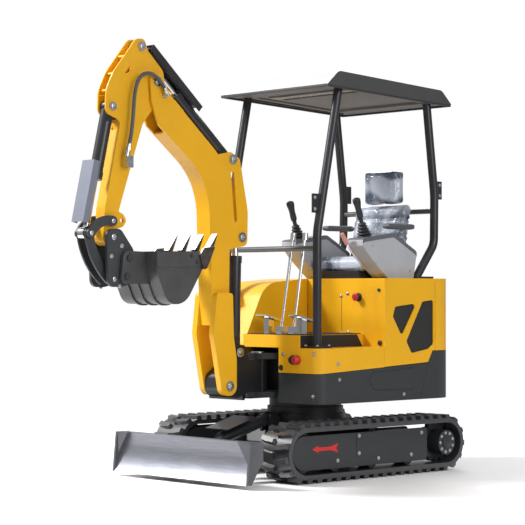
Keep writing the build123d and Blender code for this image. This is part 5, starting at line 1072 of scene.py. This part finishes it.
def under_roof(base, share, drop):
    """A spot at a share of a strip's half length and a drop below its base, and the way down."""
    return Vector((base.x, share * STRIP_HALF_LENGTH * MM, base.z - drop)), -UP


def make_roof_strips():
    strips = bmesh.new()
    bolts = []
    for row_x in STRIP_ROWS:
        base = on_surface("roof_frame", place(row_x, *STRIP_PROBE), UP)[0]
        ends = [under_roof(base, share, 0.0) for share in (-1.0, 1.0)]
        add_ribbon(strips, ends, FORWARD, STRIP_WIDTH, STRIP_THICKNESS)
        for step in range(1, STRIP_LENGTH_STEPS):
            bolts.append(under_roof(base, 2.0 * step / STRIP_LENGTH_STEPS - 1.0, STRIP_THICKNESS))
    new_piece("roof_strips", strips, "strip_beige")
    make_bolts("roof_strip_bolts", "zinc", bolts, size=0.006)


def make_roof_trim():
    low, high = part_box("canopy_roof")
    probe = Vector((high.x - TRIM_PROBE_INSET, 0.0, low.z - TRIM_PROBE_DROP))
    front_z = on_surface("canopy_roof", probe, UP)[0].z
    section = ((TRIM_INSET, TRIM_INSET), (TRIM_INSET, -TRIM_DROP), (TRIM_WIDTH, -TRIM_DROP),
               (TRIM_WIDTH, TRIM_INSET))
    shape = bmesh.new()
    rings = []
    for inset, rise in section:
        corners = ((high.x - inset, high.y - inset, front_z), (high.x - inset, low.y + inset, front_z),
                   (low.x + inset, low.y + inset, low.z), (low.x + inset, high.y - inset, low.z))
        rings.append([shape.verts.new((x, y, z + rise)) for x, y, z in corners])
    join_rings(shape, rings + rings[:1], capped=False)
    new_piece("roof_trim", shape, "trim_black", soft_edge=TRIM_EDGE)


# Pedals: ribs across the treads

PEDAL_Y = (230.0, -40.0)
PEDAL_RIBS = (206.0, 228.0, 250.0, 272.0, 294.0)
PEDAL_PROBE_Z = 1300.0
PEDAL_RIB_HALF = 34.0
PEDAL_RIB_WIDTH = 0.008
PEDAL_RIB_PROUD = 0.005


def make_pedal_ribs():
    shape = bmesh.new()
    for pedal_y in PEDAL_Y:
        for x in PEDAL_RIBS:
            ends = [on_surface("pedals", place(x, pedal_y + reach, PEDAL_PROBE_Z), -UP)
                    for reach in (-PEDAL_RIB_HALF, PEDAL_RIB_HALF)]
            add_ribbon(shape, ends, FORWARD, PEDAL_RIB_WIDTH, PEDAL_RIB_PROUD)
    new_piece("pedal_ribs", shape, "chrome")


# Undercarriage: frame bolts, covers, direction arrows and the sprockets' bolts and caps

ARROW = [(473, 183), (424, 203), (428, 193), (332, 192), (268, 208),
         (286, 183), (268, 158), (332, 174), (428, 173), (424, 163)]
ARROW_PROUD = 0.0006
FRAME_BOLTS = ((274, 112), (-55, 106), (102, 241), (102, 143), (-330, 110), (-420, 232))
FRAME_BOLT_PROUD = 0.0005
FRAME_COVER = ((120, 125), (120, 260), (-30, 255), (-30, 122))
FRAME_COVER_PROUD = 0.002
HUB_BOLTS = 9
HUB_BOLT_CIRCLE = 0.056
HUB_CAP = [(-0.004, 0.034), (0.004, 0.034), (0.008, 0.028), (0.009, 0.010)]


def make_frame_signs():
    bolts = []
    arrows = bmesh.new()
    covers = bmesh.new()
    for side in (1, -1):
        outward = LEFT * side
        for x, z in FRAME_BOLTS:
            bolts.append((beside("track_frames", x, z, side) + outward * FRAME_BOLT_PROUD, outward))
        arrow = [beside("track_frames", x, z, side) for x, z in ARROW]
        add_plate(arrows, arrow, outward, ARROW_PROUD)
        cover = [beside("track_frames", x, z, side) for x, z in FRAME_COVER]
        add_plate(covers, cover, outward, FRAME_COVER_PROUD)
    make_bolts("frame_bolts", "zinc", bolts, size=0.008, body="undercarriage")
    new_piece("direction_arrows", arrows, "arrow_red", "undercarriage", 0.0)
    new_piece("frame_covers", covers, "dark_paint", "undercarriage")


def make_hub_bolts():
    low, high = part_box("sprockets")
    middle = (low + high) / 2
    bolts = []
    caps = bmesh.new()
    for side in (1, -1):
        hub = Vector((middle.x, side * high.y, middle.z))
        for step in range(HUB_BOLTS):
            angle = 2 * math.pi * step / HUB_BOLTS
            offset = Vector((math.cos(angle), 0.0, math.sin(angle))) * HUB_BOLT_CIRCLE
            bolts.append((hub + offset, LEFT * side))
        add_turned(caps, hub, LEFT * side, HUB_CAP, 28)
    make_bolts("hub_bolts", "zinc", bolts, size=0.0065, body="undercarriage")
    new_piece("hub_caps", caps, "dark_paint", "undercarriage")


# Working arm: the hose over the arm pivot, its wrap and its fittings

HOSE_Y = 76.0
HOSE_RADIUS = 0.0095
HOSE_ROUTE = [(1125, 2113), (1160, 2181), (1245, 2231), (1321, 2200), (1352, 2112), (1359, 2016),
              (1369, 1919), (1382, 1854), (1396, 1800)]
WRAP_START = 8
WRAP_PITCH = 0.011
WRAP_STEPS = 10
WRAP_RADIUS = 0.0018
WRAP_SEAT = 0.4
ELBOW_PROUD = 17.5
ELBOW_FLANGE = [(0.0, 0.016), (0.006, 0.016), (0.007, 0.011)]
ELBOW_OVERRUN = 0.010
START_NUT = [(-0.006, 0.012), (0.010, 0.012), (0.011, 0.0145), (0.026, 0.0145), (0.027, 0.0115),
             (0.042, 0.0115)]
END_NUT = [(-0.002, 0.0150), (0.014, 0.0150), (0.015, 0.0120), (0.036, 0.0115)]


def route_curve(name, points, radius, kind):
    """A round curve through or along points; the order is set once the points are there."""
    data = bpy.data.curves.new(name, "CURVE")
    data.dimensions = "3D"
    data.bevel_depth = radius
    data.bevel_resolution = 4 if kind == "NURBS" else 1
    data.use_fill_caps = True
    spline = data.splines.new(kind)
    spline.points.add(len(points) - 1)
    for point, spot in zip(spline.points, points):
        point.co = (*spot, 1.0)
    if kind == "NURBS":
        spline.order_u = 3
        spline.use_endpoint_u = True
        spline.resolution_u = 12
    return new_object(name, data)


def as_mesh(curve, finish):
    """The same piece as a mesh."""
    curve.data.materials.append(materials[finish])
    mesh = evaluated_mesh(curve)
    mesh.shade_smooth()
    return new_object(mesh.name, mesh)


def line_of(points):
    """Points along the smooth line of a route."""
    mesh = evaluated_mesh(route_curve("bare_route", points, 0.0, "NURBS"))
    line = [vertex.co.copy() for vertex in mesh.vertices]
    bpy.data.meshes.remove(mesh)
    return line


def wrapped_round(line, radius):
    """A helix about a line that lies in a plane of constant Y."""
    helix = []
    travelled = 0.0
    for first, second in zip(line, line[1:]):
        run = second - first
        out = run.normalized().cross(LEFT).normalized()
        steps = max(1, round(run.length / WRAP_PITCH * WRAP_STEPS))
        for step in range(steps):
            share = step / steps
            angle = 2 * math.pi * (travelled + run.length * share) / WRAP_PITCH
            helix.append(first + run * share + (out * math.cos(angle) + LEFT * math.sin(angle)) * radius)
        travelled += run.length
    return helix


def make_arm_hose():
    points = [place(x, HOSE_Y, z) for x, z in HOSE_ROUTE]
    hose = as_mesh(route_curve("arm_hose_line", points, HOSE_RADIUS, "NURBS"), "hose_rubber")
    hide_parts("arm_hose")
    line = line_of(points)
    helix = wrapped_round(line[WRAP_START:], HOSE_RADIUS + WRAP_RADIUS * WRAP_SEAT)
    wrap = as_mesh(route_curve("arm_hose_wrap", helix, WRAP_RADIUS, "POLY"), "hose_wrap")
    for piece in (hose, wrap):
        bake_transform(piece)
    start = points[0]
    elbow = place(HOSE_ROUTE[0][0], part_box("arm")[1].y / MM + ELBOW_PROUD, HOSE_ROUTE[0][1])
    neck = (start.y - elbow.y + ELBOW_OVERRUN, ELBOW_FLANGE[-1][1])
    shape = bmesh.new()
    add_turned(shape, elbow, LEFT, ELBOW_FLANGE + [neck], 18)
    add_turned(shape, start, points[1] - start, START_NUT, 6)
    new_piece("hose_elbow", shape, "zinc", "boom")
    shape = bmesh.new()
    add_turned(shape, points[-1], points[-2] - points[-1], END_NUT, 6)
    new_piece("hose_nut", shape, "zinc", "arm")


# Working arm: pin ends by body, with distance ahead, height, half spacing and radius

PIN_ENDS = (
    ("boom", 1175, 2185, 63.2, 0.017),
    ("boom", 625, 1790, 63.2, 0.015),
    ("boom", 680, 522, 99.2, 0.017),
    ("boom", 555, 1354, 63.2, 0.015),
    ("arm", 1472, 2032, 46.2, 0.013),
    ("arm", 1274, 2368, 46.2, 0.013),
    ("swing", 566, 705, 54.0, 0.027),
    ("rocker", 1478, 1422, 57.0, 0.013),
    ("rocker", 1625, 1355, 57.0, 0.013),
    ("bucket", 1494, 1336, 80.0, 0.016),
    ("bucket", 1490, 1114, 80.0, 0.013),
)
PIN_END = [(-0.001, 1.0), (0.003, 1.0), (0.004, 0.86), (0.0042, 0.42),
           (0.007, 0.36), (0.010, 0.22), (0.012, 0.24), (0.013, 0.12)]
COUPLER_FACE_Y = 80.0
COUPLER_BOLTS = ((1510, 1235), (1440, 1290), (1455, 1075))
CUTTER_PROBE_Y = 400.0
CUTTER_BOLTS = ((1050, 1240), (978, 1240), (1012, 1207))


def make_pin_heads():
    """Pin ends with a grease nipple in the middle, on the bodies that hold the pins."""
    for index, (body, x, z, y, radius) in enumerate(PIN_ENDS):
        profile = [(distance, radius * share) for distance, share in PIN_END]
        shape = bmesh.new()
        for side in (1, -1):
            add_turned(shape, place(x, side * y, z), LEFT * side, profile, 24)
        new_piece(body + "_pin_end_" + str(index), shape, "bright_steel", body)


def make_bucket_bolts():
    """Bolts of the coupler's side plates, and the dark ones that hold the side cutters."""
    coupler = []
    cutters = []
    for side in (1, -1):
        for x, z in COUPLER_BOLTS:
            coupler.append((place(x, side * COUPLER_FACE_Y, z), LEFT * side))
        for x, z in CUTTER_BOLTS:
            spot = on_surface("bucket", place(x, side * CUTTER_PROBE_Y, z), -LEFT * side)[0]
            cutters.append((spot, LEFT * side))
    make_bolts("coupler_bolts", "zinc", coupler, size=0.0085, body="bucket")
    make_bolts("cutter_bolts", "linkage_paint", cutters, size=0.009, body="bucket")


make_camera()
make_floor()
make_world()
make_lights()
materials = make_materials()
for subpart in frame["record"]["subparts"]:
    node_name = subpart["node"]
    finish_node(node_name, materials[NODE_MATERIALS.get(node_name, subpart["material_slot"])])

make_arm_hose()
make_seat()
make_joysticks()
make_console_caps()
make_locking_lever()
make_step_fittings()
make_panel_fittings()
make_floor_mat()
make_skirt_bolts()
make_post_bolts()
make_hood_door()
make_roof_strips()
make_roof_trim()
make_pedal_ribs()
make_frame_signs()
make_hub_bolts()
make_pin_heads()
make_bucket_bolts()

bpy.context.scene.view_settings.view_transform = "Standard"
